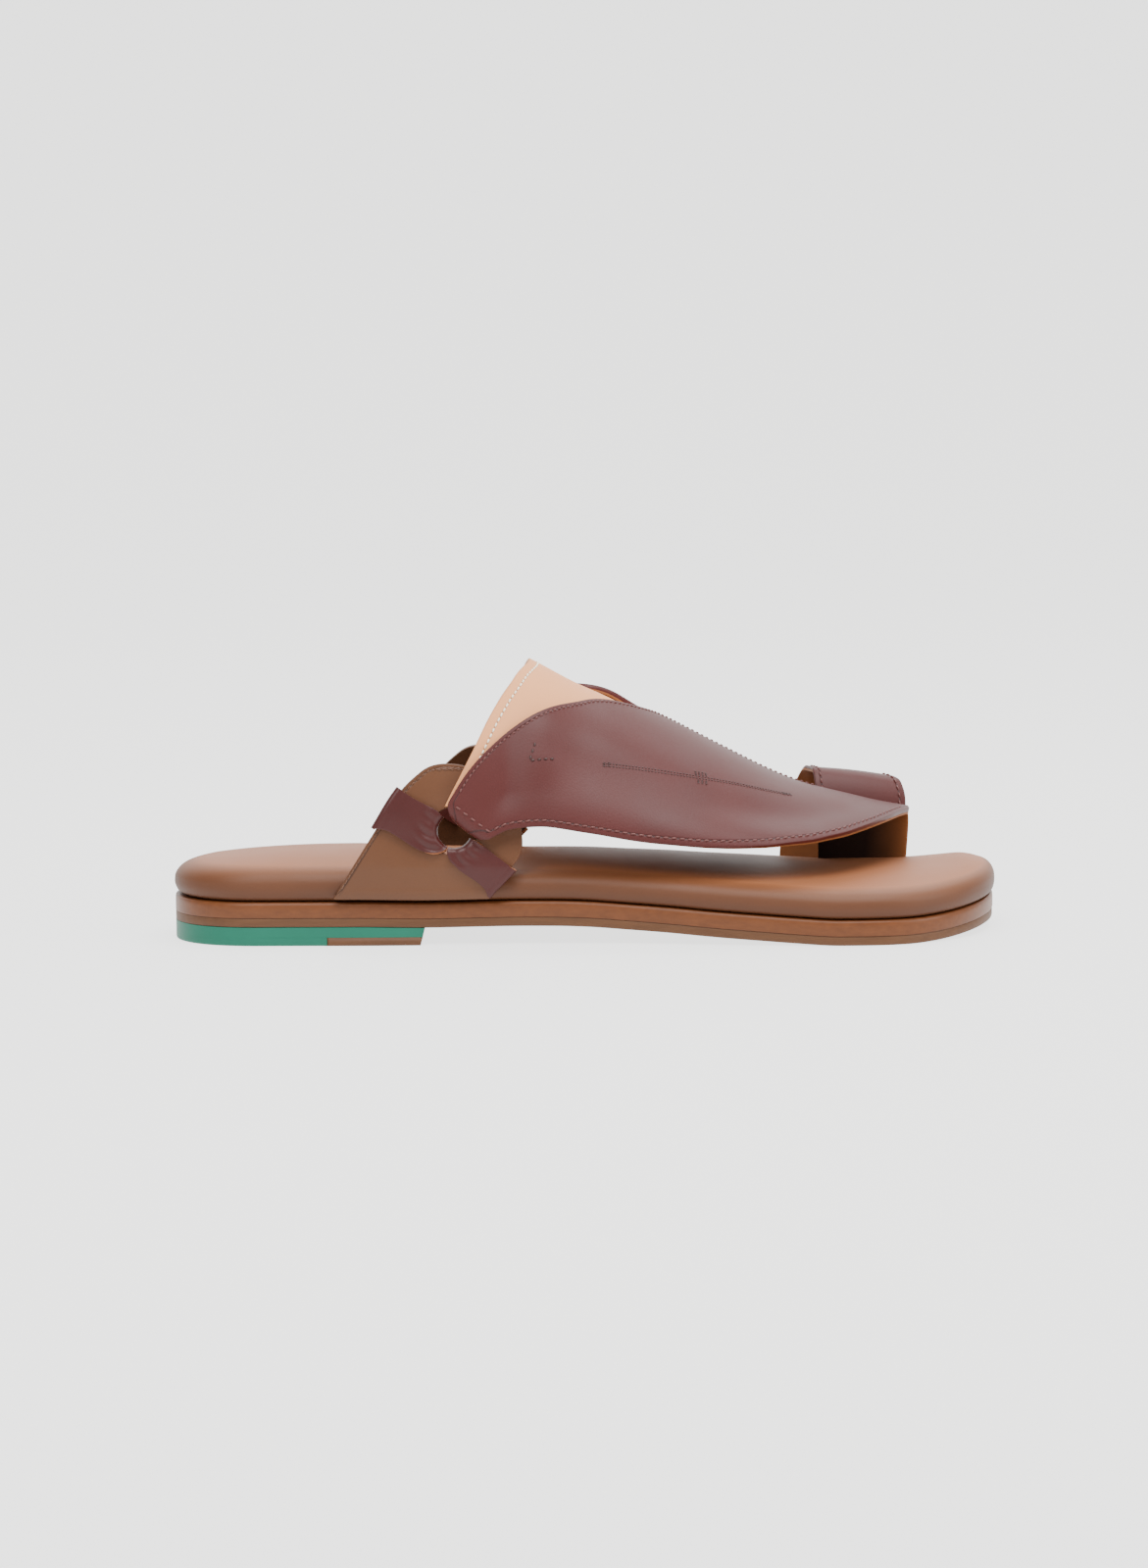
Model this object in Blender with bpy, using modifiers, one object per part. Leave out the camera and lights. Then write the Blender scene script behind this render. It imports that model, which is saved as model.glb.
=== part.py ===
"""Arabic sandal, right shoe: a flat leather sandal with two folded wings, side rings and a toe loop.

Metres, +X to the toe, +Y to the inner side of the foot, +Z up, standing on z = 0.
Tables give lengths as shares of the named sizes; "along" runs 0 at the heel to 1 at the toe.
"""

import math

import bmesh
import bpy
import numpy as np

MM = 0.001

# Sole
LENGTH = 280 * MM
BALL_WIDTH = 102 * MM
HEEL_HEIGHT = 6.3 * MM
OUTSOLE_THICKNESS = 3.1 * MM
MIDSOLE_THICKNESS = 5.6 * MM
FOOTBED_THICKNESS = 12.8 * MM
HEEL_PADDING = 0.15
CROWN_POWER = 2.4
HEEL_CROWN_RUN = 45 * MM
TOE_CROWN_RUN = 9 * MM
TOE_SPRING = 3.6 * MM
TOP_PIECE_HEIGHT = 2.8 * MM
TOP_PIECE_START = 0.1905
HEEL_BREAST = 0.3075
BREAST_SLANT = 1.5 * MM
WELT_INSET = 0.7 * MM

# Upper
UPPER_HEIGHT = 93.6 * MM
WING_THICKNESS = 2.3 * MM
PANEL_THICKNESS = 1.6 * MM
TAB_THICKNESS = 1.8 * MM
TAB_HEIGHT = 46 * MM
TAB_FLAT = 1.0 * MM
TAB_BEND_START = 10 * MM
TAB_BEND_RUN = 13 * MM
TAB_LEAN_START = 0.33
TAB_LEAN_RUN = 0.30
BAND_THICKNESS = 1.3 * MM
LOOP_THICKNESS = 1.8 * MM
RING_RADIUS = 8 * MM
RING_ALONG = 0.3446
RING_HEIGHT = 38.5 * MM
MEDIAL_SHIFT = 11 * MM
CURL_RADIUS = 1.5 * MM
CURL_TAIL = 3.6 * MM
CURL_ANGLES = (math.radians(35), math.radians(65), math.radians(90))
SLOT_DEPTH = 7.5 * MM
POST_DROP = 16 * MM
SIDE_STRAIGHT = 5 * MM
GAP = 0.3 * MM

# Half widths of the footbed as shares of the ball width.
OUTLINE = (
    ("along", "lateral", "medial"),
    (0.00, 0.325, 0.325),
    (0.08, 0.332, 0.332),
    (0.16, 0.345, 0.345),
    (0.24, 0.359, 0.357),
    (0.34, 0.367, 0.361),
    (0.46, 0.369, 0.368),
    (0.54, 0.391, 0.397),
    (0.62, 0.431, 0.440),
    (0.70, 0.468, 0.472),
    (0.78, 0.497, 0.481),
    (0.85, 0.503, 0.477),
    (0.92, 0.489, 0.462),
    (1.00, 0.455, 0.435),
)

# Height of the outsole's underside, as a share of the heel height.
SOLE_LINE = (
    ("along", "rise"),
    (0.00, 1.000),
    (0.22, 1.000),
    (0.31, 0.945),
    (0.41, 0.985),
    (0.46, 0.965),
    (0.50, 0.915),
    (0.55, 0.770),
    (0.60, 0.620),
    (0.65, 0.430),
    (0.70, 0.270),
    (0.75, 0.120),
    (0.80, 0.000),
    (0.88, 0.000),
)

# The upper's arch over the foot: crest height as a share of the upper's height,
# the crest's and the two feet's sideways places as shares of the ball width.
ARCH = (
    ("along", "crest", "lean", "lateral", "medial"),
    (0.179, 1.260, 0.000, -0.415, 0.415),
    (0.321, 1.154, 0.000, -0.415, 0.415),
    (0.379, 1.085, 0.000, -0.415, 0.415),
    (0.436, 1.000, 0.005, -0.415, 0.417),
    (0.493, 0.905, 0.027, -0.418, 0.421),
    (0.529, 0.854, 0.041, -0.420, 0.425),
    (0.564, 0.798, 0.057, -0.421, 0.426),
    (0.600, 0.740, 0.073, -0.421, 0.426),
    (0.625, 0.700, 0.084, -0.421, 0.422),
    (0.673, 0.622, 0.108, -0.417, 0.402),
    (0.721, 0.547, 0.132, -0.402, 0.353),
    (0.746, 0.514, 0.142, -0.392, 0.319),
    (0.771, 0.487, 0.151, -0.380, 0.270),
    (0.789, 0.472, 0.158, -0.371, 0.222),
    (0.821, 0.447, 0.171, -0.345, 0.229),
    (0.857, 0.419, 0.184, -0.304, 0.239),
    (0.893, 0.397, 0.196, -0.270, 0.250),
    (0.907, 0.389, 0.201, -0.255, 0.255),
)

# Edges of the wings. "turn" is 0 at the lateral foot of the arch, 1 at its crest, 2 at the medial foot.
LATERAL_LOW = (
    ("along", "turn"),
    (0.377, 0.060),
    (0.393, 0.084),
    (0.410, 0.105),
    (0.430, 0.116),
    (0.457, 0.124),
    (0.502, 0.118),
    (0.569, 0.110),
    (0.620, 0.118),
    (0.660, 0.134),
    (0.709, 0.174),
    (0.735, 0.209),
    (0.767, 0.261),
    (0.788, 0.314),
    (0.811, 0.381),
    (0.832, 0.471),
    (0.857, 0.608),
    (0.872, 0.709),
    (0.885, 0.816),
    (0.901, 0.955),
)
LATERAL_TOP = (
    ("along", "turn"),
    (0.332, 0.143),
    (0.344, 0.193),
    (0.359, 0.253),
    (0.376, 0.313),
    (0.399, 0.391),
    (0.422, 0.462),
    (0.445, 0.535),
    (0.467, 0.608),
    (0.490, 0.683),
    (0.508, 0.748),
    (0.526, 0.800),
    (0.549, 0.865),
    (0.566, 0.925),
    (0.584, 1.000),
    (0.617, 1.090),
)
MEDIAL_TOP = (
    ("along", "turn"),
    (0.371, 1.857),
    (0.383, 1.807),
    (0.398, 1.747),
    (0.415, 1.687),
    (0.432, 1.590),
    (0.448, 1.480),
    (0.465, 1.370),
    (0.486, 1.265),
    (0.508, 1.215),
    (0.530, 1.200),
    (0.560, 1.185),
    (0.590, 1.145),
    (0.617, 1.090),
)
SEAM = (
    ("along", "turn"),
    (0.617, 1.090),
    (0.650, 1.100),
    (0.700, 1.100),
    (0.801, 1.080),
    (0.901, 1.080),
)
MEDIAL_LOW = (
    ("along", "turn"),
    (0.416, 1.940),
    (0.432, 1.916),
    (0.450, 1.880),
    (0.470, 1.850),
    (0.500, 1.815),
    (0.541, 1.790),
    (0.600, 1.770),
    (0.650, 1.735),
    (0.700, 1.660),
    (0.740, 1.530),
    (0.765, 1.410),
    (0.777, 1.340),
)
POST_REAR = 0.788
POST_FRONT = 0.8955
POST_TURN = 2.36

# Edges of the instep panel.
PANEL_REAR = (
    ("along", "turn"),
    (0.3335, 0.158),
    (0.3438, 0.208),
    (0.3532, 0.254),
    (0.3709, 0.353),
    (0.3851, 0.448),
    (0.4004, 0.555),
    (0.4181, 0.699),
    (0.4355, 0.952),
    (0.4350, 1.040),
    (0.4260, 1.300),
    (0.4180, 1.445),
    (0.4080, 1.552),
    (0.3950, 1.647),
    (0.3830, 1.746),
    (0.3720, 1.842),
)
PANEL_FRONT = 0.640
PANEL_FRONT_LOW = 0.30
PANEL_FRONT_HIGH = 1.70

# Outline of a side tab: along the shoe, and height above the welt as a share of the tab's height.
TAB_OUTLINE = (
    ("along", "rise"),
    (0.3846, 0.026),
    (0.3980, 0.128),
    (0.4121, 0.246),
    (0.4215, 0.330),
    (0.4253, 0.422),
    (0.4240, 0.530),
    (0.4164, 0.635),
    (0.4050, 0.741),
    (0.3879, 0.846),
    (0.3732, 0.924),
    (0.3532, 0.987),
    (0.3321, 1.000),
    (0.3171, 0.985),
    (0.2996, 0.917),
    (0.2811, 0.807),
    (0.2525, 0.541),
    (0.2250, 0.277),
    (0.1990, 0.026),
)

# Bands of a ring, in degrees round the hole's centre: their edges at the hole and at the tab's rim.
BANDS = (
    ("name", "hole_start", "hole_end", "rim_start", "rim_end", "closed"),
    ("rear", 129.0, 246.0, 142.0, 177.5, True),
    ("front", 250.0, 335.0, 297.5, 327.5, False),
)

# The toe loop's middle line at its rear and front edges: "across" is 0 at the post and 1 at the
# footbed's medial side, "lift" is height above the footbed as a share of the loop's height.
LOOP_HEIGHT = 28.4 * MM
LOOP_REAR = (
    ("along", "across", "lift"),
    (0.789, 0.000, -0.22),
    (0.789, 0.000, 0.10),
    (0.789, 0.010, 0.48),
    (0.787, 0.095, 0.80),
    (0.783, 0.310, 1.025),
    (0.776, 0.575, 1.020),
    (0.766, 0.800, 0.845),
    (0.756, 0.940, 0.51),
    (0.748, 0.995, 0.14),
    (0.745, 1.000, -0.10),
    (0.744, 1.000, -0.36),
)
LOOP_FRONT = (
    ("along", "across", "lift"),
    (0.895, 0.000, -0.22),
    (0.895, 0.000, 0.08),
    (0.897, 0.010, 0.36),
    (0.898, 0.085, 0.64),
    (0.892, 0.270, 0.86),
    (0.881, 0.530, 0.90),
    (0.869, 0.770, 0.76),
    (0.857, 0.930, 0.47),
    (0.847, 0.995, 0.13),
    (0.845, 1.000, -0.10),
    (0.844, 1.000, -0.36),
)

# Rounded side of the footbed: inset from its outline and height above its underside.
FOOTBED_SIDE = (
    ("height", "inset"),
    (0.00 * MM, 2.6 * MM),
    (0.70 * MM, 1.4 * MM),
    (1.90 * MM, 0.5 * MM),
    (3.60 * MM, 0.0 * MM),
    (5.40 * MM, 0.15 * MM),
    (7.00 * MM, 0.9 * MM),
    (8.30 * MM, 2.2 * MM),
    (9.30 * MM, 4.2 * MM),
    (10.0 * MM, 6.6 * MM),
)


def column(table, name):
    """One named column of a table, as an array."""
    place = table[0].index(name)
    return np.array([row[place] for row in table[1:]], float)


def smooth(xs, ys, at):
    """A smooth curve through the points (xs, ys) that never overshoots them, held level beyond its ends."""
    run = np.diff(xs)
    slope = np.diff(ys) / run
    tangent = np.empty(len(xs))
    tangent[0] = slope[0]
    tangent[-1] = slope[-1]
    product = np.maximum(slope[:-1] * slope[1:], 0)
    total = slope[:-1] + slope[1:]
    tangent[1:-1] = 2 * product / np.where(total == 0, 1, total)
    at = np.clip(at, xs[0], xs[-1])
    i = np.clip(np.searchsorted(xs, at, side="right") - 1, 0, len(run) - 1)
    t = (at - xs[i]) / run[i]
    rise = ys[i] * (2 * t**3 - 3 * t**2 + 1) + ys[i + 1] * (3 * t**2 - 2 * t**3)
    return rise + run[i] * (tangent[i] * (t**3 - 2 * t**2 + t) + tangent[i + 1] * (t**3 - t**2))


def read(table, name, at, key=None):
    """A table's column at the given places of its first column."""
    return smooth(column(table, key or table[0][0]), column(table, name), at)


def even(table, count):
    """The table's rows taken as a curve, at even steps of its length."""
    rows = np.array(table[1:], float)
    step = np.linalg.norm(np.diff(rows, axis=0), axis=1)
    length = np.concatenate([[0], np.cumsum(step)])
    at = np.linspace(0, length[-1], count)
    return np.stack([smooth(length, rows[:, k], at) for k in range(rows.shape[1])], axis=1)


def along_to_x(along):
    return (np.asarray(along) - 0.5) * LENGTH


def x_to_along(x):
    return np.asarray(x) / LENGTH + 0.5


def corner(distance, reach, power):
    """How far a rounded end has filled out at this distance from its tip, 0 to 1."""
    rest = np.clip(1 - distance / reach, 0, 1)
    return (1 - rest**power) ** (1 / power)


def side_of_outline(x, side):
    """The sideways place of the footbed's outline, on the lateral (-1) or medial (1) side."""
    along = x_to_along(x)
    half = read(OUTLINE, "lateral" if side < 0 else "medial", along) * BALL_WIDTH
    body = side * half
    from_heel = along * LENGTH
    from_toe = (1 - along) * LENGTH
    toe_tip = 0.108 * BALL_WIDTH
    heel = corner(from_heel, 0.108 * LENGTH, 2.15)
    toe = corner(from_toe, (0.185 if side < 0 else 0.105) * LENGTH, 2.3 if side < 0 else 2.5)
    middle = toe_tip * np.clip((along - 0.5) / 0.4, 0, 1)
    return np.where(along < 0.5, body * heel, middle + (body - middle) * toe)


def sole_low(x):
    """The outsole's underside: level under the heel, arched at the waist, sprung at the toe."""
    along = x_to_along(x)
    rise = read(SOLE_LINE, "rise", along) * HEEL_HEIGHT
    spring = np.clip((along - 0.88) / 0.12, 0, 1) ** 1.7 * TOE_SPRING
    return rise + spring


def welt_top(x):
    return sole_low(x) + OUTSOLE_THICKNESS + MIDSOLE_THICKNESS


def footbed_thickness(x):
    """Thickness at the middle of the crowned footbed, more under the heel."""
    return FOOTBED_THICKNESS * (1 + HEEL_PADDING * np.clip((0.42 - x_to_along(x)) / 0.2, 0, 1))


def footbed_top(x):
    return welt_top(x) + footbed_thickness(x)


def foot_line(x):
    """Height of the two feet of the upper's arch."""
    return welt_top(x) + FOOTBED_THICKNESS * (1 + 0.05 * np.clip((0.3 - x_to_along(x)) / 0.2, 0, 1))


def side_scale(x):
    """How wide the footbed's rounded side is: rounder at the heel, blunter at the toe."""
    along = x_to_along(x)
    return 1 + 0.35 * np.clip((0.12 - along) / 0.12, 0, 1) - 0.4 * np.clip((along - 0.92) / 0.08, 0, 1)


def sole_scale(x):
    """How far the sole's layers stand in from the footbed: almost flush at the back of the heel."""
    return 1 - 0.75 * np.clip((0.08 - x_to_along(x)) / 0.08, 0, 1)


def crown(x, share, ends, height):
    """Rise of the footbed's middle over its rim, share being 0 at the middle and 1 at either side."""
    from_heel = np.clip(1 - (x - ends[0]) / HEEL_CROWN_RUN, 0, 1)
    from_toe = np.clip(1 - (ends[1] - x) / TOE_CROWN_RUN, 0, 1)
    rise = height * footbed_thickness(x) / FOOTBED_THICKNESS
    return rise * (1 - np.abs(share) ** CROWN_POWER) * (1 - from_heel**2) * (1 - from_toe**2)


def sides_of_outline(x_start, x_end, stations):
    """Points down the lateral and the medial side, closer together at the round ends."""
    step = np.linspace(0, math.pi, stations + 1)
    x = x_start + (x_end - x_start) * (1 - np.cos(step)) / 2
    if x_end < along_to_x(0.98):
        x = x_start + (x_end - x_start) * (1 - np.cos(step / 2))
    lateral = np.stack([x, side_of_outline(x, -1)], axis=1)
    medial = np.stack([x, side_of_outline(x, 1)], axis=1)
    return lateral, medial


def inset_points(points, inset):
    """Points of a closed outline moved inwards along its normals."""
    ahead = np.roll(points, -1, axis=0) - points
    behind = points - np.roll(points, 1, axis=0)
    ahead /= np.linalg.norm(ahead, axis=1, keepdims=True)
    behind /= np.linalg.norm(behind, axis=1, keepdims=True)
    tangent = ahead + behind
    tangent /= np.linalg.norm(tangent, axis=1, keepdims=True)
    normal = np.stack([-tangent[:, 1], tangent[:, 0]], axis=1)
    return points + normal * inset


def new_object(name, points, faces, collection, material=None):
    """A smooth-shaded mesh object in a collection."""
    mesh = bpy.data.meshes.new(name)
    mesh.from_pydata([tuple(p) for p in points], [], [tuple(int(i) for i in f) for f in faces])
    mesh.validate()
    mesh.polygons.foreach_set("use_smooth", [True] * len(mesh.polygons))
    obj = bpy.data.objects.new(name, mesh)
    collection.objects.link(obj)
    if material is not None:
        mesh.materials.append(material)
    return obj


def material_of(name, colour, roughness):
    material = bpy.data.materials.new(name)
    material.use_nodes = True
    shader = material.node_tree.nodes["Principled BSDF"]
    shader.inputs["Base Color"].default_value = (*colour, 1)
    shader.inputs["Roughness"].default_value = roughness
    return material


def slab(name, x_start, x_end, levels, stations, collection, material, scale=sole_scale, crowned=0.0):
    """A layer of the sole: rings of its outline stacked by (inset, height function), capped by strips across.

    x_end short of the toe gives a straight front edge, set back at each level by its third number. A crowned
    layer rises by that much from its top rim to its middle.
    """
    lateral, medial = sides_of_outline(x_start, x_end, stations)
    closed_toe = x_end > along_to_x(0.98)
    front = medial[-2:0:-1] if closed_toe else medial[:0:-1]
    outline = np.concatenate([lateral, front])
    count = len(outline)
    points = []
    for inset, height, set_back in levels:
        ring = inset_points(outline, (inset * scale(outline[:, 0]))[:, None])
        if not closed_toe:
            ring[stations : stations + 2, 0] = x_end - set_back
        points.append(np.column_stack([ring, height(ring[:, 0])]))
    points = np.concatenate(points)
    faces = []
    for level in range(len(levels) - 1):
        for i in range(count):
            a = level * count + i
            b = level * count + (i + 1) % count
            faces.append((a, b, b + count, a + count))
    top = (len(levels) - 1) * count
    last = stations - 1 if closed_toe else stations
    for i in range(1, last):
        faces.append((i, i + 1, count - i - 1, count - i)[::-1])
    faces.append((count - 1, 1, 0))
    if crowned:
        cap, points = crowned_cap(points, top, count, stations, crowned)
        faces += cap
        faces.append((stations + 1, stations, stations - 1))
        return new_object(name, points, faces, collection, material)
    for i in range(1, last):
        faces.append(tuple(top + k for k in (i, i + 1, count - i - 1, count - i)))
    faces.append((top, top + 1, top + count - 1))
    if closed_toe:
        tip = stations
        faces.append((top + tip - 1, top + tip, top + tip + 1))
        faces.append((tip + 1, tip, tip - 1))
    return new_object(name, points, faces, collection, material)


def crowned_cap(points, top, count, stations, height, strips=8):
    """Faces over a closed top ring, with added points that rise to the crown."""
    ring = points[top : top + count]
    share = np.linspace(-1, 1, strips + 1)[1:-1, None]
    ends = ring[0, 0], ring[stations, 0]
    rows = []
    added = [points]
    for i in range(1, stations):
        inner = ring[i] * (1 - share) / 2 + ring[count - i] * (1 + share) / 2
        inner[:, 2] += crown(inner[:, 0], share[:, 0], ends, height)
        first = len(points) + (i - 1) * (strips - 1)
        rows.append([top + i, *range(first, first + strips - 1), top + count - i])
        added.append(inner)
    faces = []
    for row, following in zip(rows, rows[1:]):
        for k in range(strips):
            faces.append((row[k], following[k], following[k + 1], row[k + 1]))
    for k in range(strips):
        faces.append((top, rows[0][k], rows[0][k + 1]))
        faces.append((top + stations, rows[-1][k + 1], rows[-1][k]))
    return faces, np.concatenate(added)


def arch(x, turn):
    """A point of the upper's arch: two quarter ellipses over the foot, then straight down past the medial foot."""
    x, turn = np.broadcast_arrays(np.asarray(x, float), np.asarray(turn, float))
    along = x_to_along(x)
    crest = read(ARCH, "crest", along) * UPPER_HEIGHT
    lean = read(ARCH, "lean", along) * BALL_WIDTH
    lateral = read(ARCH, "lateral", along) * BALL_WIDTH
    medial = read(ARCH, "medial", along) * BALL_WIDTH
    base = foot_line(x)
    angle = np.minimum(turn, 2) * math.pi / 2
    foot = np.where(turn < 1, lateral, medial)
    y = lean + (foot - lean) * np.abs(np.cos(angle))
    below = np.maximum(turn - 2, 0) * POST_DROP
    z = base + (crest - base) * np.sin(angle) - below
    return np.stack([x, y, z], axis=-1)


def arch_normal(x, turn):
    """The outward normal of the arch."""
    step = 0.05 * MM
    forward = arch(np.asarray(x) + step, turn) - arch(np.asarray(x) - step, turn)
    over = arch(x, np.asarray(turn) + 0.0005) - arch(x, np.asarray(turn) - 0.0005)
    normal = np.cross(forward, over)
    return normal / np.linalg.norm(normal, axis=-1, keepdims=True)


def grid_faces(rows, columns, first=0, flip=False):
    """Quads over a grid of points stored row by row."""
    faces = []
    for i in range(rows - 1):
        for j in range(columns - 1):
            a = first + i * columns + j
            quad = (a, a + columns, a + columns + 1, a + 1)
            faces.append(quad[::-1] if flip else quad)
    return faces


def solidify(obj, thickness, offset):
    modifier = obj.modifiers.new("Thickness", "SOLIDIFY")
    modifier.thickness = thickness
    modifier.offset = offset
    modifier.use_quality_normals = True
    modifier.thickness_clamp = 0
    return obj


def curl(end, behind, normal, angles, tail):
    """Rows continuing a wing's end through its ring: round a small radius, then straight in, narrowing."""
    back = end - behind
    back /= np.linalg.norm(back, axis=1, keepdims=True)
    rows = []
    for angle in angles:
        ahead = back * CURL_RADIUS * math.sin(angle)
        inward = normal * CURL_RADIUS * (1 - math.cos(angle))
        rows.append(end + ahead - inward)
    rows.append(rows[-1] - normal * tail)
    middle = end.mean(axis=0)
    line = (end[-1] - end[0]) / np.linalg.norm(end[-1] - end[0])
    pinched = []
    for row, share in zip(rows, (0.84, 0.62, 0.50, 0.45)):
        aside = ((row - middle) @ line)[:, None] * line
        pinched.append(row - aside * (1 - share))
    return pinched[::-1]


def after_curl(edge, count):
    """Even steps along an edge of a wing, from where the wing starts to curl into its ring."""
    placed = arch(along_to_x(edge[:, 0]), edge[:, 1])
    length = np.concatenate([[0], np.cumsum(np.linalg.norm(np.diff(placed, axis=0), axis=1))])
    at = np.linspace(CURL_RADIUS + WING_THICKNESS, length[-1], count)
    return np.stack([smooth(length, edge[:, 0], at), smooth(length, edge[:, 1], at)], axis=1)


def wing_rows(low, top, low_end, stations, across):
    """Rows of one wing behind the place where the two wings meet."""
    edge_low = even(low, 80)
    edge_low = edge_low[edge_low[:, 0] <= low_end]
    edge_top = even(top, 80)
    mix = np.linspace(0, 1, across)[None, :, None]
    low_rows = after_curl(edge_low, stations)
    top_rows = after_curl(edge_top, stations)
    return low_rows[:, None] * (1 - mix) + top_rows[:, None] * mix


def build_upper(collection, material):
    """Both wings and the toe post as one shell, open in a V over the instep."""
    back, front, across = 17, 22, 9
    meet = column(LATERAL_TOP, "along")[-1]
    lateral_back = wing_rows(LATERAL_LOW, LATERAL_TOP, 0.600, back, across)
    medial_back = wing_rows(MEDIAL_LOW, MEDIAL_TOP, 0.600, back, across)
    seam_along = np.linspace(meet, 0.901, front + 1)[1:]
    spacing = (seam_along - meet) / (0.901 - meet)
    low_along = lateral_back[-1, 0, 0] + (0.901 - lateral_back[-1, 0, 0]) * spacing
    low_turn = read(LATERAL_LOW, "turn", low_along)
    seam_turn = read(SEAM, "turn", seam_along)
    medial_along = medial_back[-1, 0, 0] + (POST_FRONT - medial_back[-1, 0, 0]) * spacing
    post = medial_along > 0.777
    first_post = int(np.argmax(post))
    medial_along[first_post - 1] = 0.777
    medial_along[first_post:] = np.linspace(POST_REAR, POST_FRONT, front - first_post)
    medial_turn = np.where(post, POST_TURN, read(MEDIAL_LOW, "turn", medial_along))
    mix = np.linspace(0, 1, across)[None, :, None]
    low = np.stack([low_along, low_turn], axis=1)[:, None]
    seam = np.stack([seam_along, seam_turn], axis=1)[:, None]
    medial = np.stack([medial_along, medial_turn], axis=1)[:, None]
    lateral_front = low * (1 - mix) + seam * mix
    medial_front = medial * (1 - mix) + seam * mix
    points = []
    faces = []
    shells = ((lateral_back, lateral_front, False), (medial_back, medial_front, True))
    for rear_rows, front_rows, flip in shells:
        table = np.concatenate([rear_rows, front_rows])
        placed = arch(along_to_x(table[..., 0]), table[..., 1])
        normal = arch_normal(along_to_x(table[0, :, 0]), table[0, :, 1])
        tail = curl(placed[0], placed[1], normal, CURL_ANGLES, CURL_TAIL)
        rows = np.concatenate([np.stack(tail), placed])
        faces += grid_faces(len(rows), across, first=len(points), flip=flip)
        points += list(rows.reshape(-1, 3))
    obj = new_object("upper", points, faces, collection, material)
    weld = bmesh.new()
    weld.from_mesh(obj.data)
    bmesh.ops.remove_doubles(weld, verts=weld.verts, dist=0.01 * MM)
    weld.to_mesh(obj.data)
    weld.free()
    return solidify(obj, WING_THICKNESS, 1)


def build_panel(collection, material):
    """The instep panel, lying inside the wings."""
    stations, across = 12, 23
    rear = even(PANEL_REAR, across)
    turn = np.linspace(PANEL_FRONT_LOW, PANEL_FRONT_HIGH, across)
    front = np.stack([np.full(across, PANEL_FRONT), turn], axis=1)
    mix = np.linspace(0, 1, stations)[:, None, None]
    rows = rear[None] * (1 - mix) + front[None] * mix
    x = along_to_x(rows[..., 0])
    points = arch(x, rows[..., 1]) - arch_normal(x, rows[..., 1]) * 2 * GAP
    faces = grid_faces(stations, across)
    obj = new_object("instep_panel", points.reshape(-1, 3), faces, collection, material)
    return solidify(obj, PANEL_THICKNESS, -1)


def tab_point(x, z, side):
    """The middle surface of a side tab: up the footbed's rounded side, then inside the upper's arch."""
    x, z = np.broadcast_arrays(np.asarray(x, float), np.asarray(z, float))
    above = z - welt_top(x)
    inset = read(FOOTBED_SIDE, "inset", np.clip(above, 0, SIDE_STRAIGHT))
    low = np.abs(side_of_outline(x, side)) - inset + 2.5 * GAP + TAB_THICKNESS / 2
    low = low + TAB_FLAT * np.clip((above - 2 * MM) / (10 * MM), 0, 1)
    along = x_to_along(x)
    crest = read(ARCH, "crest", along) * UPPER_HEIGHT
    foot = np.abs(read(ARCH, "lateral" if side < 0 else "medial", along)) * BALL_WIDTH
    lean = read(ARCH, "lean", along) * BALL_WIDTH * side
    base = foot_line(x)
    sine = np.clip((z - base) / (crest - base), 0, 1)
    under = 4 * GAP + PANEL_THICKNESS + TAB_THICKNESS / 2
    slope = (foot - lean) * sine / np.sqrt(1 - sine**2) / (crest - base)
    high = lean + (foot - lean) * np.sqrt(1 - sine**2) - under * np.sqrt(1 + slope**2)
    mix = np.clip((above - TAB_BEND_START) / TAB_BEND_RUN, 0, 1)
    mix = mix * mix * (3 - 2 * mix)
    return np.stack([x, side * (low * (1 - mix) + high * mix), z], axis=-1)


def tab_normal(x, z, side):
    """The outward normal of a side tab."""
    step = 0.1 * MM
    forward = tab_point(x + step, z, side) - tab_point(x - step, z, side)
    up = tab_point(x, z + step, side) - tab_point(x, z - step, side)
    normal = np.cross(forward, up)
    return -side * normal / np.linalg.norm(normal, axis=-1, keepdims=True)


def tab_outline(shift):
    """The tab's outline in (x, z), as points close together, with its two lower corners kept.

    A shifted tab leans: below its ring its front edge stays where it is.
    """
    rows = even(TAB_OUTLINE, 120)
    lean = np.clip((rows[:, 1] - TAB_LEAN_START) / TAB_LEAN_RUN, 0, 1)
    behind = np.arange(len(rows)) > np.argmax(rows[:, 1])
    x = along_to_x(rows[:, 0]) + shift * np.where(behind, 1, lean * lean * (3 - 2 * lean))
    z = welt_top(x) + rows[:, 1] * TAB_HEIGHT
    bottom = np.linspace(x[-1], x[0], 20)[1:-1]
    x = np.concatenate([x, bottom])
    z = np.concatenate([z, welt_top(bottom) + rows[0, 1] * TAB_HEIGHT])
    return np.stack([x, z], axis=1)


def reach(outline, centre, angles):
    """Distance from the hole's centre to the outline at these angles."""
    offset = outline - centre
    turn = np.unwrap(np.arctan2(offset[:, 1], offset[:, 0]))
    radius = np.linalg.norm(offset, axis=1)
    turn = np.concatenate([turn, turn + 2 * math.pi, turn + 4 * math.pi])
    radius = np.tile(radius, 3)
    wanted = np.mod(np.asarray(angles) - turn[0], 2 * math.pi) + turn[0]
    return np.interp(wanted, turn, radius)


def ring_centre(shift):
    return np.array([along_to_x(RING_ALONG) + shift, RING_HEIGHT])


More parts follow.
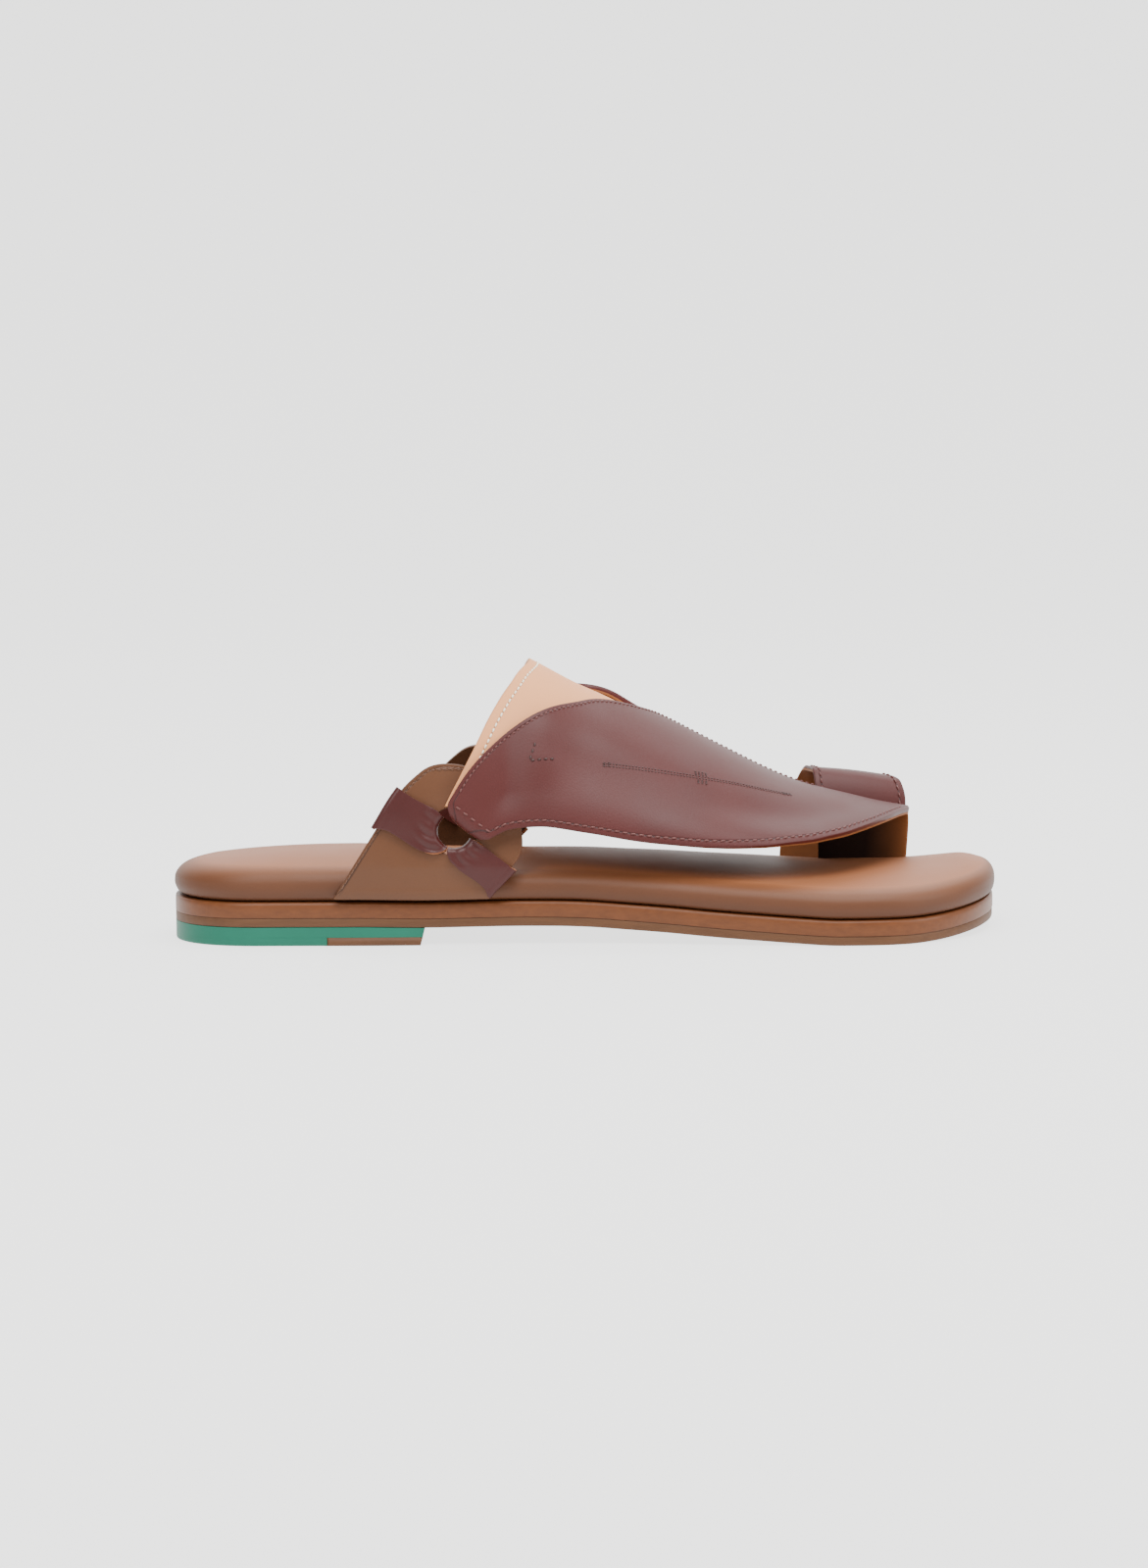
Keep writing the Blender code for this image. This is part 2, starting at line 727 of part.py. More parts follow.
def build_tab(name, side, shift, collection, material):
    """A leather tab standing at the footbed's side, with a round hole."""
    outline = tab_outline(shift)
    centre = ring_centre(shift)
    corners = (outline[0] - centre, outline[119] - centre)
    kept = sorted(math.atan2(c[1], c[0]) % (2 * math.pi) for c in corners)
    lower = np.linspace(kept[0], kept[1], 13)
    upper = np.linspace(kept[1], kept[0] + 2 * math.pi, 30)
    angles = np.concatenate([lower[:-1], upper[:-1]])
    radius = reach(outline, centre, angles)
    rings = []
    for share in (0, 0.17, 0.40, 0.66, 0.86, 1):
        r = RING_RADIUS + (radius - RING_RADIUS) * share
        x = centre[0] + r * np.cos(angles)
        z = centre[1] + r * np.sin(angles)
        rings.append(tab_point(x, z, side))
    count = len(angles)
    faces = []
    for level in range(5):
        for i in range(count):
            a = level * count + i
            b = level * count + (i + 1) % count
            quad = (a, a + count, b + count, b)
            faces.append(quad if side < 0 else quad[::-1])
    obj = new_object(name, np.concatenate(rings), faces, collection, material)
    return solidify(obj, TAB_THICKNESS, 0)


def build_band(name, side, shift, row, collection, material):
    """A strap looped through the ring and over the tab's rim."""
    across = 9
    outline = tab_outline(shift)
    centre = ring_centre(shift)
    width = np.linspace(0, 1, across)
    at_hole = np.radians(row[1] + (row[2] - row[1]) * width)
    at_rim = np.radians(row[3] + (row[4] - row[3]) * width)
    rim = reach(outline, centre, at_rim)
    clear = GAP + BAND_THICKNESS / 2
    face = TAB_THICKNESS / 2 + clear
    hole = RING_RADIUS
    through = [(0.1, -0.2, -1), (0, -0.85, -0.9), (0, -1.2, 0), (0, -0.85, 0.9), (0.1, -0.2, 1)]
    outer = [(0.25, 0, 1), (0.45, 0, 1), (0.7, 0, 1), (0.93, 0, 1)]
    over = [(1, 0.95, 0.95), (1, 1.3, 0.1)]
    under = [(1, 0.95, -0.95), (0.93, 0, -1), (0.6, 0, -1), (0.3, 0, -1)]
    path = through + outer + over + (under if row[5] else [])
    rows = []
    for share, beyond, off in path:
        pull = (1 - share) ** 2.4
        angle = at_hole * pull + at_rim * (1 - pull)
        r = hole + (rim - hole) * share + beyond * clear
        x = centre[0] + r * np.cos(angle)
        z = centre[1] + r * np.sin(angle)
        rows.append(tab_point(x, z, side) + tab_normal(x, z, side) * face * off)
    faces = grid_faces(len(path), across, flip=side > 0)
    obj = new_object(name, np.concatenate(rows), faces, collection, material)
    return solidify(obj, BAND_THICKNESS, 0)


def build_loop(collection, material):
    """The toe loop: from the slot beside the post, over the big toe, down the footbed's medial side."""
    rear = even(LOOP_REAR, 27)
    front = even(LOOP_FRONT, 27)
    mix = np.linspace(0, 1, 8)[:, None, None]
    rows = rear[None] * (1 - mix) + front[None] * mix
    x = along_to_x(rows[..., 0])
    z = footbed_top(x) + rows[..., 2] * LOOP_HEIGHT
    medial = read(ARCH, "medial", x_to_along(x)) * BALL_WIDTH
    post = medial + WING_THICKNESS + 2 * GAP + LOOP_THICKNESS / 2
    inset = read(FOOTBED_SIDE, "inset", np.clip(z - welt_top(x), 0, SIDE_STRAIGHT))
    outside = side_of_outline(x, 1) - inset + 1.5 * GAP + LOOP_THICKNESS / 2
    y = post + (outside - post) * rows[..., 1]
    points = np.stack([x, y, z], axis=-1)
    faces = grid_faces(8, 27, flip=True)
    obj = new_object("toe_loop", points.reshape(-1, 3), faces, collection, material)
    return solidify(obj, LOOP_THICKNESS, 0)


def prism(name, corners, low, high, collection):
    """A cutter with a flat outline."""
    count = len(corners)
    points = [(x, y, low) for x, y in corners] + [(x, y, high) for x, y in corners]
    faces = [tuple(range(count))[::-1], tuple(range(count, 2 * count))]
    for i in range(count):
        j = (i + 1) % count
        faces.append((i, j, j + count, i + count))
    cutter = new_object(name, points, faces, collection)
    cutter.hide_render = True
    cutter.display_type = "WIRE"
    return cutter


def cut(obj, cutter):
    modifier = obj.modifiers.new("Cut", "BOOLEAN")
    modifier.operation = "DIFFERENCE"
    modifier.solver = "EXACT"
    modifier.object = cutter


def build_sole(parts, cutters, materials):
    """Heel block, top piece, outsole, midsole and footbed."""
    heel, toe = along_to_x(0), along_to_x(1)
    breast = along_to_x(HEEL_BREAST)
    edge = 0.5 * MM
    inset = WELT_INSET + 0.2 * MM

    def at(height):
        return lambda x: np.full(np.shape(x), height)

    def above(base, height):
        return lambda x: base(x) + height

    start = heel
    block = slab(
        "heel_block",
        start,
        breast,
        (
            (inset + edge, at(0), BREAST_SLANT),
            (inset, at(edge), BREAST_SLANT),
            (inset, above(sole_low, -GAP), 0),
        ),
        20,
        parts,
        materials["heel"],
    )
    piece_start = along_to_x(TOP_PIECE_START)
    notch = prism(
        "heel_notch",
        (
            (piece_start - GAP, -BALL_WIDTH),
            (breast + LENGTH * 0.1, -BALL_WIDTH),
            (breast + LENGTH * 0.1, BALL_WIDTH),
            (piece_start - GAP, BALL_WIDTH),
        ),
        -10 * MM,
        TOP_PIECE_HEIGHT + GAP,
        cutters,
    )
    cut(block, notch)
    top_piece(piece_start, breast - BREAST_SLANT, inset, edge, parts, materials["outsole"])
    slab(
        "outsole",
        heel,
        toe,
        (
            (inset + 0.7 * edge, sole_low, 0),
            (inset, above(sole_low, 0.7 * edge), 0),
            (inset, above(sole_low, OUTSOLE_THICKNESS - GAP), 0),
        ),
        32,
        parts,
        materials["outsole"],
    )
    base = lambda x: sole_low(x) + OUTSOLE_THICKNESS
    slab(
        "midsole",
        heel,
        toe,
        (
            (WELT_INSET + 0.1 * MM, base, 0),
            (WELT_INSET, above(base, edge), 0),
            (WELT_INSET, above(base, MIDSOLE_THICKNESS - GAP - 1.6 * edge), 0),
            (WELT_INSET + 1.2 * edge, above(base, MIDSOLE_THICKNESS - GAP), 0),
        ),
        32,
        parts,
        materials["welt"],
    )
    levels = []
    heights = column(FOOTBED_SIDE, "height") / FOOTBED_THICKNESS
    for height, side in zip(heights, column(FOOTBED_SIDE, "inset")):
        levels.append((side, lambda x, h=height: welt_top(x) + h * footbed_thickness(x), 0))
    rim = column(FOOTBED_SIDE, "height")[-1]
    footbed = slab(
        "footbed",
        heel,
        toe,
        levels,
        36,
        parts,
        materials["footbed"],
        scale=side_scale,
        crowned=FOOTBED_THICKNESS - rim,
    )
    cut(footbed, slot_cutter(cutters))


def top_piece(x_start, x_end, inset, edge, parts, material):
    """The heel's brown wearing piece, across the whole heel at its front."""
    rings = []
    back = BREAST_SLANT * TOP_PIECE_HEIGHT / HEEL_HEIGHT
    for height, aside, ahead in ((0, inset + edge, 0), (edge, inset, 0), (TOP_PIECE_HEIGHT, inset, back)):
        x = np.linspace(x_start, x_end + ahead, 7)
        lateral = np.stack([x, side_of_outline(x, -1) + aside, np.full(7, height)], axis=1)
        medial = np.stack([x, side_of_outline(x, 1) - aside, np.full(7, height)], axis=1)
        rings.append(np.concatenate([lateral, medial[::-1]]))
    points = np.concatenate(rings)
    faces = []
    for level in range(2):
        for i in range(14):
            a = level * 14 + i
            b = level * 14 + (i + 1) % 14
            faces.append((a, b, b + 14, a + 14))
    for i in range(6):
        across = (i, i + 1, 12 - i, 13 - i)
        faces.append(tuple(28 + k for k in across))
        faces.append(across[::-1])
    return new_object("heel_top_piece", points, faces, parts, material)


def slot_cutter(cutters):
    """The slot in the footbed that takes the post and the loop's near leg."""
    rear = along_to_x(POST_REAR) - 0.9 * MM
    front = along_to_x(POST_FRONT) + 1.1 * MM
    corners = []
    for x, beyond in ((rear, False), (front, False), (front, True), (rear, True)):
        y = float(read(ARCH, "medial", max(x_to_along(x), 0.789))) * BALL_WIDTH
        wide = WING_THICKNESS + LOOP_THICKNESS + 4 * GAP
        corners.append((x, y + wide if beyond else y - 2 * GAP))
    top = float(footbed_top(rear))
    return prism("toe_slot", corners, top - SLOT_DEPTH, top + 20 * MM, cutters)


def main():
    for obj in list(bpy.data.objects):
        bpy.data.objects.remove(obj, do_unlink=True)
    parts = bpy.data.collections.new("arabic_sandal")
    cutters = bpy.data.collections.new("cutters")
    bpy.context.scene.collection.children.link(parts)
    bpy.context.scene.collection.children.link(cutters)
    materials = {
        "heel": material_of("heel_teal", (0.06, 0.28, 0.20), 0.45),
        "outsole": material_of("outsole_leather", (0.22, 0.11, 0.06), 0.6),
        "welt": material_of("welt_leather", (0.33, 0.12, 0.04), 0.45),
        "footbed": material_of("footbed_leather", (0.24, 0.09, 0.04), 0.5),
        "wing": material_of("wing_leather", (0.10, 0.02, 0.02), 0.4),
        "panel": material_of("panel_leather", (0.75, 0.50, 0.36), 0.5),
    }
    build_sole(parts, cutters, materials)
    build_upper(parts, materials["wing"])
    build_panel(parts, materials["panel"])
    for word, side, shift in (("lateral", -1, 0.0), ("medial", 1, MEDIAL_SHIFT)):
        build_tab("side_tab_" + word, side, shift, parts, materials["footbed"])
        for row in BANDS[1:]:
            name = "ring_band_" + row[0] + "_" + word
            build_band(name, side, shift, row, parts, materials["wing"])
    build_loop(parts, materials["wing"])


main()
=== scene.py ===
"""Arabic sandal, right shoe: the finished look over its solids, laid out as an add-on and run as a script."""

import math

import bmesh
import bpy
import numpy as np
from mathutils import Matrix, Vector


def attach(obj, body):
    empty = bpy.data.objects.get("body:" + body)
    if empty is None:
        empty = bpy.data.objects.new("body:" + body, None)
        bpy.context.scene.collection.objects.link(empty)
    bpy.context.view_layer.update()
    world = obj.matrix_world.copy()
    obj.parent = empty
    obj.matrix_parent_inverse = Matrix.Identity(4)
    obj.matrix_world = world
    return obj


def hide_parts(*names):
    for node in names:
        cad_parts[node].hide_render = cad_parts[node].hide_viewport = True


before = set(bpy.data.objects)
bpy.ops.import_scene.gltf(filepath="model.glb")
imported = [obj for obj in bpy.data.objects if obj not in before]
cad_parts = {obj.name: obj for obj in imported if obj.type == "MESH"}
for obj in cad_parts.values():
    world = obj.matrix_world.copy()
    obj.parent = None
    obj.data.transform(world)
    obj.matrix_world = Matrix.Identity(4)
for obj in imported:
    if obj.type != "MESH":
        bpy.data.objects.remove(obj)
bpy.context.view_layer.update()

bl_info = {
    "name": "Arabic sandal",
    "version": (1, 0, 0),
    "blender": (4, 5, 0),
    "location": "3D View > Sidebar > Sandal",
    "description": "Leather, stitching, edges and studio of an arabic sandal",
    "category": "Object",
}

MM = 0.001
LENGTH = 280 * MM
BALL_WIDTH = 102 * MM
HEEL_HEIGHT = 6.3 * MM
OUTSOLE_THICKNESS = 3.1 * MM
MIDSOLE_THICKNESS = 5.6 * MM
FOOTBED_THICKNESS = 12.8 * MM
HEEL_PADDING = 0.15
CROWN_POWER = 2.4
HEEL_CROWN_RUN = 45 * MM
TOE_CROWN_RUN = 9 * MM
TOE_SPRING = 3.6 * MM
TOP_PIECE_HEIGHT = 2.8 * MM
TOP_PIECE_START = 0.1905
HEEL_BREAST = 0.3075
BREAST_SLANT = 1.5 * MM
UPPER_HEIGHT = 93.6 * MM
TAB_HEIGHT = 46 * MM
TAB_FLAT = 1.0 * MM
TAB_BEND_START = 10 * MM
TAB_BEND_RUN = 13 * MM
TAB_LEAN_START = 0.33
TAB_LEAN_RUN = 0.30
POST_DROP = 16 * MM
SIDE_STRAIGHT = 5 * MM
RING_RADIUS = 8 * MM
RING_ALONG = 0.3446
RING_HEIGHT = 38.5 * MM
MEDIAL_SHIFT = 11 * MM
LOOP_HEIGHT = 28.4 * MM
GAP = 0.3 * MM
HEEL_ROUND = (0.108, 2.15)
LATERAL_TOE_ROUND = (0.185, 2.3)
MEDIAL_TOE_ROUND = (0.105, 2.5)
TOE_SHIFT = 0.108
TOE_SPRING_START = 0.88
TOE_SPRING_POWER = 1.7
FLARE_HEIGHT = 1.7 * MM
FLARE_WIDTH = 0.15
HOLLOW_DEPTH = 1.3 * MM
HOLLOW_PLACE = 0.25
HOLLOW_WIDTH = 0.13
TROUGH_DEPTH = 1.5 * MM
TROUGH_ALONG = 0.405
TROUGH_WIDTH = 0.020
RIDGE_HEIGHT = 1.2 * MM
RIDGE_ALONG = 0.452
RIDGE_WIDTH = 0.024
OVERLAP_DEPTH = 2.35 * MM
STAND_OFF = 1.5 * MM
OUTSOLE_INSET = 0.9 * MM
WELT_INSET = 0.7 * MM
CURL_RADIUS = 1.5 * MM
CURL_TAIL = 3.6 * MM
SEAM_START = 0.617
MEDIAL_SEAM_END = 0.781
PANEL_FRONT = (0.634, 0.30, 1.70)
PANEL_MARGIN = 3.3
TAB_MARGIN = 1.3
BAND_END_CUT = 1.8 * MM
SEAM_GAP = 0.9 * MM
SEAM_PITCH = 1.1 * MM
SEAM_THREAD = 0.38 * MM

# Half widths of the footbed as shares of the ball width.
OUTLINE = (
    ("along", "lateral", "medial"),
    (0.00, 0.325, 0.325),
    (0.08, 0.332, 0.332),
    (0.16, 0.345, 0.345),
    (0.24, 0.359, 0.357),
    (0.34, 0.367, 0.361),
    (0.46, 0.369, 0.368),
    (0.54, 0.391, 0.397),
    (0.62, 0.431, 0.440),
    (0.70, 0.468, 0.472),
    (0.78, 0.497, 0.481),
    (0.85, 0.503, 0.477),
    (0.92, 0.489, 0.462),
    (1.00, 0.455, 0.435),
)

# Height of the outsole's underside, as a share of the heel height.
SOLE_LINE = (
    ("along", "rise"),
    (0.00, 1.000),
    (0.22, 1.000),
    (0.31, 0.945),
    (0.41, 0.985),
    (0.46, 0.965),
    (0.50, 0.915),
    (0.55, 0.770),
    (0.60, 0.620),
    (0.65, 0.430),
    (0.70, 0.270),
    (0.75, 0.120),
    (0.80, 0.000),
    (0.88, 0.000),
)

# The arch that the upper follows over the foot.
ARCH = (
    ("along", "crest", "lean", "lateral", "medial"),
    (0.179, 1.260, 0.000, -0.415, 0.415),
    (0.321, 1.154, 0.000, -0.415, 0.415),
    (0.379, 1.085, 0.000, -0.415, 0.415),
    (0.436, 1.000, 0.005, -0.415, 0.417),
    (0.493, 0.905, 0.027, -0.418, 0.421),
    (0.529, 0.854, 0.041, -0.420, 0.425),
    (0.564, 0.798, 0.057, -0.421, 0.426),
    (0.600, 0.740, 0.073, -0.421, 0.426),
    (0.625, 0.700, 0.084, -0.421, 0.422),
    (0.673, 0.622, 0.108, -0.417, 0.402),
    (0.721, 0.547, 0.132, -0.402, 0.353),
    (0.746, 0.514, 0.142, -0.392, 0.319),
    (0.771, 0.487, 0.151, -0.380, 0.270),
    (0.789, 0.472, 0.158, -0.371, 0.222),
    (0.821, 0.447, 0.171, -0.345, 0.229),
    (0.857, 0.419, 0.184, -0.304, 0.239),
    (0.893, 0.397, 0.196, -0.270, 0.250),
    (0.907, 0.389, 0.201, -0.255, 0.255),
)

# Edges of the wings: "turn" is 0 at the arch's lateral foot, 1 at its crest, 2 at its medial foot.
LATERAL_LOW = (
    ("along", "turn"),
    (0.377, 0.060),
    (0.393, 0.084),
    (0.410, 0.105),
    (0.430, 0.116),
    (0.457, 0.124),
    (0.502, 0.118),
    (0.569, 0.110),
    (0.620, 0.118),
    (0.660, 0.134),
    (0.709, 0.174),
    (0.735, 0.209),
    (0.767, 0.261),
    (0.788, 0.314),
    (0.811, 0.381),
    (0.832, 0.471),
    (0.857, 0.608),
    (0.872, 0.709),
    (0.885, 0.816),
    (0.901, 0.955),
)
LATERAL_TOP = (
    ("along", "turn"),
    (0.332, 0.143),
    (0.344, 0.193),
    (0.359, 0.253),
    (0.376, 0.313),
    (0.399, 0.391),
    (0.422, 0.462),
    (0.445, 0.535),
    (0.467, 0.608),
    (0.490, 0.683),
    (0.508, 0.748),
    (0.526, 0.800),
    (0.549, 0.865),
    (0.566, 0.925),
    (0.584, 1.000),
    (0.617, 1.090),
)
MEDIAL_TOP = (
    ("along", "turn"),
    (0.371, 1.857),
    (0.383, 1.807),
    (0.398, 1.747),
    (0.415, 1.687),
    (0.432, 1.590),
    (0.448, 1.480),
    (0.465, 1.370),
    (0.486, 1.265),
    (0.508, 1.215),
    (0.530, 1.200),
    (0.560, 1.185),
    (0.590, 1.145),
    (0.617, 1.090),
)
SEAM = (
    ("along", "turn"),
    (0.617, 1.090),
    (0.650, 1.100),
    (0.700, 1.100),
    (0.801, 1.080),
    (0.901, 1.080),
)
MEDIAL_LOW = (
    ("along", "turn"),
    (0.416, 1.940),
    (0.432, 1.916),
    (0.450, 1.880),
    (0.470, 1.850),
    (0.500, 1.815),
    (0.541, 1.790),
    (0.600, 1.770),
    (0.650, 1.735),
    (0.700, 1.660),
    (0.740, 1.530),
    (0.765, 1.410),
    (0.777, 1.340),
)
POST_REAR = 0.788
POST_FRONT = 0.8955
POST_TURN = 2.30
TIP = 0.897
POST_SWELL = 0.0036

PANEL_REAR = (
    ("along", "turn"),
    (0.3335, 0.158),
    (0.3438, 0.208),
    (0.3532, 0.254),
    (0.3709, 0.353),
    (0.3851, 0.448),
    (0.4004, 0.555),
    (0.4181, 0.699),
    (0.4355, 0.952),
    (0.4350, 1.040),
    (0.4260, 1.300),
    (0.4180, 1.445),
    (0.4080, 1.552),
    (0.3950, 1.647),
    (0.3830, 1.746),
    (0.3720, 1.842),
)

# Outline of a side tab: along the shoe, and height above the welt as a share of the tab's height.
TAB_OUTLINE = (
    ("along", "rise"),
    (0.3846, 0.026),
    (0.3980, 0.128),
    (0.4121, 0.246),
    (0.4215, 0.330),
    (0.4253, 0.422),
    (0.4240, 0.530),
    (0.4164, 0.635),
    (0.4050, 0.741),
    (0.3879, 0.846),
    (0.3732, 0.924),
    (0.3532, 0.987),
    (0.3321, 1.000),
    (0.3171, 0.985),
    (0.2996, 0.917),
    (0.2811, 0.807),
    (0.2525, 0.541),
    (0.2250, 0.277),
    (0.1990, 0.026),
)

# Bands of a ring: degrees round the hole's centre, at the hole and at the tab's rim.
BANDS = (
    ("name", "hole_start", "hole_end", "rim_start", "rim_end", "closed"),
    ("rear", 129.0, 246.0, 142.0, 177.5, True),
    ("front", 250.0, 335.0, 297.5, 327.5, False),
)

# The toe loop's middle line at its rear and front edges.
LOOP_REAR = (
    ("along", "across", "lift"),
    (0.789, 0.000, -0.22),
    (0.789, 0.000, 0.10),
    (0.789, 0.010, 0.48),
    (0.787, 0.095, 0.80),
    (0.783, 0.310, 1.025),
    (0.776, 0.575, 1.020),
    (0.766, 0.800, 0.845),
    (0.756, 0.940, 0.51),
    (0.748, 0.995, 0.14),
    (0.745, 1.000, -0.10),
    (0.744, 1.000, -0.36),
)
LOOP_FRONT = (
    ("along", "across", "lift"),
    (0.895, 0.000, -0.22),
    (0.895, 0.000, 0.08),
    (0.897, 0.010, 0.36),
    (0.898, 0.085, 0.64),
    (0.892, 0.270, 0.86),
    (0.881, 0.530, 0.90),
    (0.869, 0.770, 0.76),
    (0.857, 0.930, 0.47),
    (0.847, 0.995, 0.13),
    (0.845, 1.000, -0.10),
    (0.844, 1.000, -0.36),
)

# Rounded side of the footbed: height above its underside, and inset from its outline.
FOOTBED_SIDE = (
    ("height", "inset"),
    (0.00 * MM, 3.2 * MM),
    (0.30 * MM, 2.0 * MM),
    (0.90 * MM, 1.0 * MM),
    (1.90 * MM, 0.4 * MM),
    (3.60 * MM, 0.0 * MM),
    (5.40 * MM, 0.15 * MM),
    (7.00 * MM, 0.9 * MM),
    (8.30 * MM, 2.2 * MM),
    (9.30 * MM, 4.2 * MM),
    (10.0 * MM, 6.6 * MM),
)

# The straight seam sewn on the lateral wing.
WING_SEAM = (
    ("along", "turn"),
    (0.520, 0.405),
    (0.550, 0.430),
    (0.619, 0.494),
    (0.689, 0.585),
    (0.747, 0.672),
)

# Short bars of thread at the seam's start, middle and end, and the open angle sewn behind it.
TACKS = (
    ("name", "along", "turn", "end_along", "end_turn", "rows"),
    ("start", 0.520, 0.405, 0.531, 0.417, 3),
    ("middle_above", 0.628, 0.527, 0.644, 0.549, 3),
    ("middle_below", 0.631, 0.483, 0.645, 0.497, 3),
    ("end", 0.735, 0.654, 0.747, 0.674, 3),
    ("angle_rear", 0.441, 0.410, 0.434, 0.335, 1),
    ("angle_low", 0.434, 0.335, 0.464, 0.367, 1),
)


def length_property(name, description, default):
    """A length in the sidebar."""
    return bpy.props.FloatProperty(name=name, description=description, default=default, unit="LENGTH")


class SandalSizes(bpy.types.PropertyGroup):
    """Leather and thread."""

    leather: length_property("Wing leather", "Thickness of the wings' outer leather", 1.55 * MM)
    lining: length_property("Lining", "Thickness of the wings' lining", 0.75 * MM)
    panel: length_property("Panel", "Thickness of the instep panel", 1.6 * MM)
    tab: length_property("Tab", "Thickness of a side tab", 1.8 * MM)
    band: length_property("Band", "Thickness of a ring's band", 1.3 * MM)
    loop: length_property("Toe loop", "Thickness of the toe loop", 1.8 * MM)
    thread: length_property("Thread", "Thickness of the thread", 0.62 * MM)
    pitch: length_property("Stitch", "Length of a stitch along a lower edge", 2.7 * MM)
    margin: length_property("Margin", "Distance of the stitching from a lower edge", 2.1 * MM)
    top_pitch: length_property("Top stitch", "Length of a stitch along a top edge", 1.9 * MM)
    top_margin: length_property("Top margin", "Distance of the stitching from a top edge", 1.5 * MM)


def colour_property(name, description, default):
    """A colour in the sidebar."""
    return bpy.props.FloatVectorProperty(
        name=name, description=description, default=default, size=3, min=0, max=1, subtype="COLOR"
    )


class SandalColours(bpy.types.PropertyGroup):
    """Leathers and rubber."""

    wing: colour_property("Wings", "Burgundy leather", (0.053, 0.0072, 0.0058))
    panel: colour_property("Panel", "Peach leather", (0.62, 0.27, 0.115))
    footbed: colour_property("Footbed", "Brown leather", (0.066, 0.0205, 0.0060))
    # The footbed's top colour is painted light: lighter than the side, for the light from above and the
    # backdrop's reflection on the top.
    footbed_top: colour_property("Footbed's top", "Brown leather rubbed light", (0.235, 0.085, 0.034))
    tab: colour_property("Tabs", "Brown leather", (0.082, 0.0285, 0.0090))
    lining: colour_property("Lining", "Tan lining leather", (0.200, 0.072, 0.024))
    # The inside colour is partly a dark stain and partly painted shade under the wings.
    inside: colour_property("Inside", "Dark stained_and_shaded inside of the wings", (0.012, 0.004, 0.002))
    welt: colour_property("Welt", "Orange tan leather", (0.100, 0.030, 0.0075))
    outsole: colour_property("Outsole", "Stacked leather", (0.078, 0.032, 0.0125))
    heel: colour_property("Heel", "Teal", (0.0042, 0.105, 0.064))
    raw: colour_property("Raw edge", "Cut edge of a band", (0.24, 0.085, 0.035))
    thread: colour_property("Thread", "Burgundy thread", (0.090, 0.022, 0.018))
    light_thread: colour_property("Panel thread", "Cream thread", (0.95, 0.80, 0.62))
    floor: colour_property("Floor", "Pale studio floor", (0.22, 0.22, 0.218))


def sizes():
    """The sizes set in the sidebar."""
    return bpy.context.scene.sandal_sizes


def colours():
    """The colours set in the sidebar."""
    return bpy.context.scene.sandal_colours


# Tables and curves.


def column(table, name):
    """One named column of a table."""
    place = table[0].index(name)
    return np.array([row[place] for row in table[1:]], float)


def smooth(xs, ys, at):
    """Cubic through each (xs, ys) with harmonic-mean slopes, so it never overshoots; level past its ends."""
    run = np.diff(xs)
    slope = np.diff(ys) / run
    tangent = np.empty(len(xs))
    tangent[0] = slope[0]
    tangent[-1] = slope[-1]
    product = np.maximum(slope[:-1] * slope[1:], 0)
    total = slope[:-1] + slope[1:]
    tangent[1:-1] = 2 * product / np.where(total == 0, 1, total)
    at = np.clip(at, xs[0], xs[-1])
    i = np.clip(np.searchsorted(xs, at, side="right") - 1, 0, len(run) - 1)
    t = (at - xs[i]) / run[i]
    rise = ys[i] * (2 * t**3 - 3 * t**2 + 1) + ys[i + 1] * (3 * t**2 - 2 * t**3)
    return rise + run[i] * (tangent[i] * (t**3 - 2 * t**2 + t) + tangent[i + 1] * (t**3 - t**2))


def read(table, name, at):
    """A table's named column, as a smooth curve over its first column."""
    return smooth(column(table, table[0][0]), column(table, name), at)


def even(table, count):
    """The table's rows as a curve, at even steps of its length."""
    rows = np.array(table[1:], float)
    length = np.concatenate([[0], np.cumsum(np.linalg.norm(np.diff(rows, axis=0), axis=1))])
    at = np.linspace(0, length[-1], count)
    return np.stack([smooth(length, rows[:, k], at) for k in range(rows.shape[1])], axis=1)


def steps_along(points):
    """Distance along a run of points."""
    return np.concatenate([[0], np.cumsum(np.linalg.norm(np.diff(points, axis=0), axis=1))])


def resample(values, length, at):
    """Rows of values at new places along their length."""
    return np.stack([np.interp(at, length, values[:, k]) for k in range(values.shape[1])], axis=1)


def soft_step(value):
    """0 below 0, 1 above 1, and 3v^2 - 2v^3 between."""
    value = np.clip(value, 0, 1)
    return value * value * (3 - 2 * value)


def unit(vectors):
    """Vectors made one long."""
    return vectors / np.maximum(np.linalg.norm(vectors, axis=-1, keepdims=True), 1e-12)


def along_to_x(along):
    """Place in metres of a share of the length from the heel."""
    return (np.asarray(along) - 0.5) * LENGTH


def x_to_along(x):
    """Share of the length from the heel at a place in metres."""
    return np.asarray(x) / LENGTH + 0.5


# The shoe's own forms.


def corner(distance, reach, power):
    """Superellipse quarter: how far a rounded end has filled out at this distance from its tip."""
    rest = np.clip(1 - distance / reach, 0, 1)
    return (1 - rest**power) ** (1 / power)


def side_of_outline(x, side):
    """Sideways place of the footbed's outline: its table's half width times a rounded end."""
    along = x_to_along(x)
    body = side * read(OUTLINE, "lateral" if side < 0 else "medial", along) * BALL_WIDTH
    heel = corner(along, *HEEL_ROUND)
    toe = corner(1 - along, *(LATERAL_TOE_ROUND if side < 0 else MEDIAL_TOE_ROUND))
    middle = TOE_SHIFT * BALL_WIDTH * np.clip((along - 0.5) / 0.4, 0, 1)
    return np.where(along < 0.5, body * heel, middle + (body - middle) * toe)


def sole_low(x):
    """Underside of the outsole: the sole line plus a toe spring that grows as a power of the distance."""
    along = x_to_along(x)
    ahead = np.clip((along - TOE_SPRING_START) / (1 - TOE_SPRING_START), 0, 1)
    spring = ahead**TOE_SPRING_POWER * TOE_SPRING
    return read(SOLE_LINE, "rise", along) * HEEL_HEIGHT + spring


def outsole_top(x):
    """Height of the outsole's top."""
    return sole_low(x) + OUTSOLE_THICKNESS


def welt_top(x):
    """Height of the welt layer's top."""
    return outsole_top(x) + MIDSOLE_THICKNESS


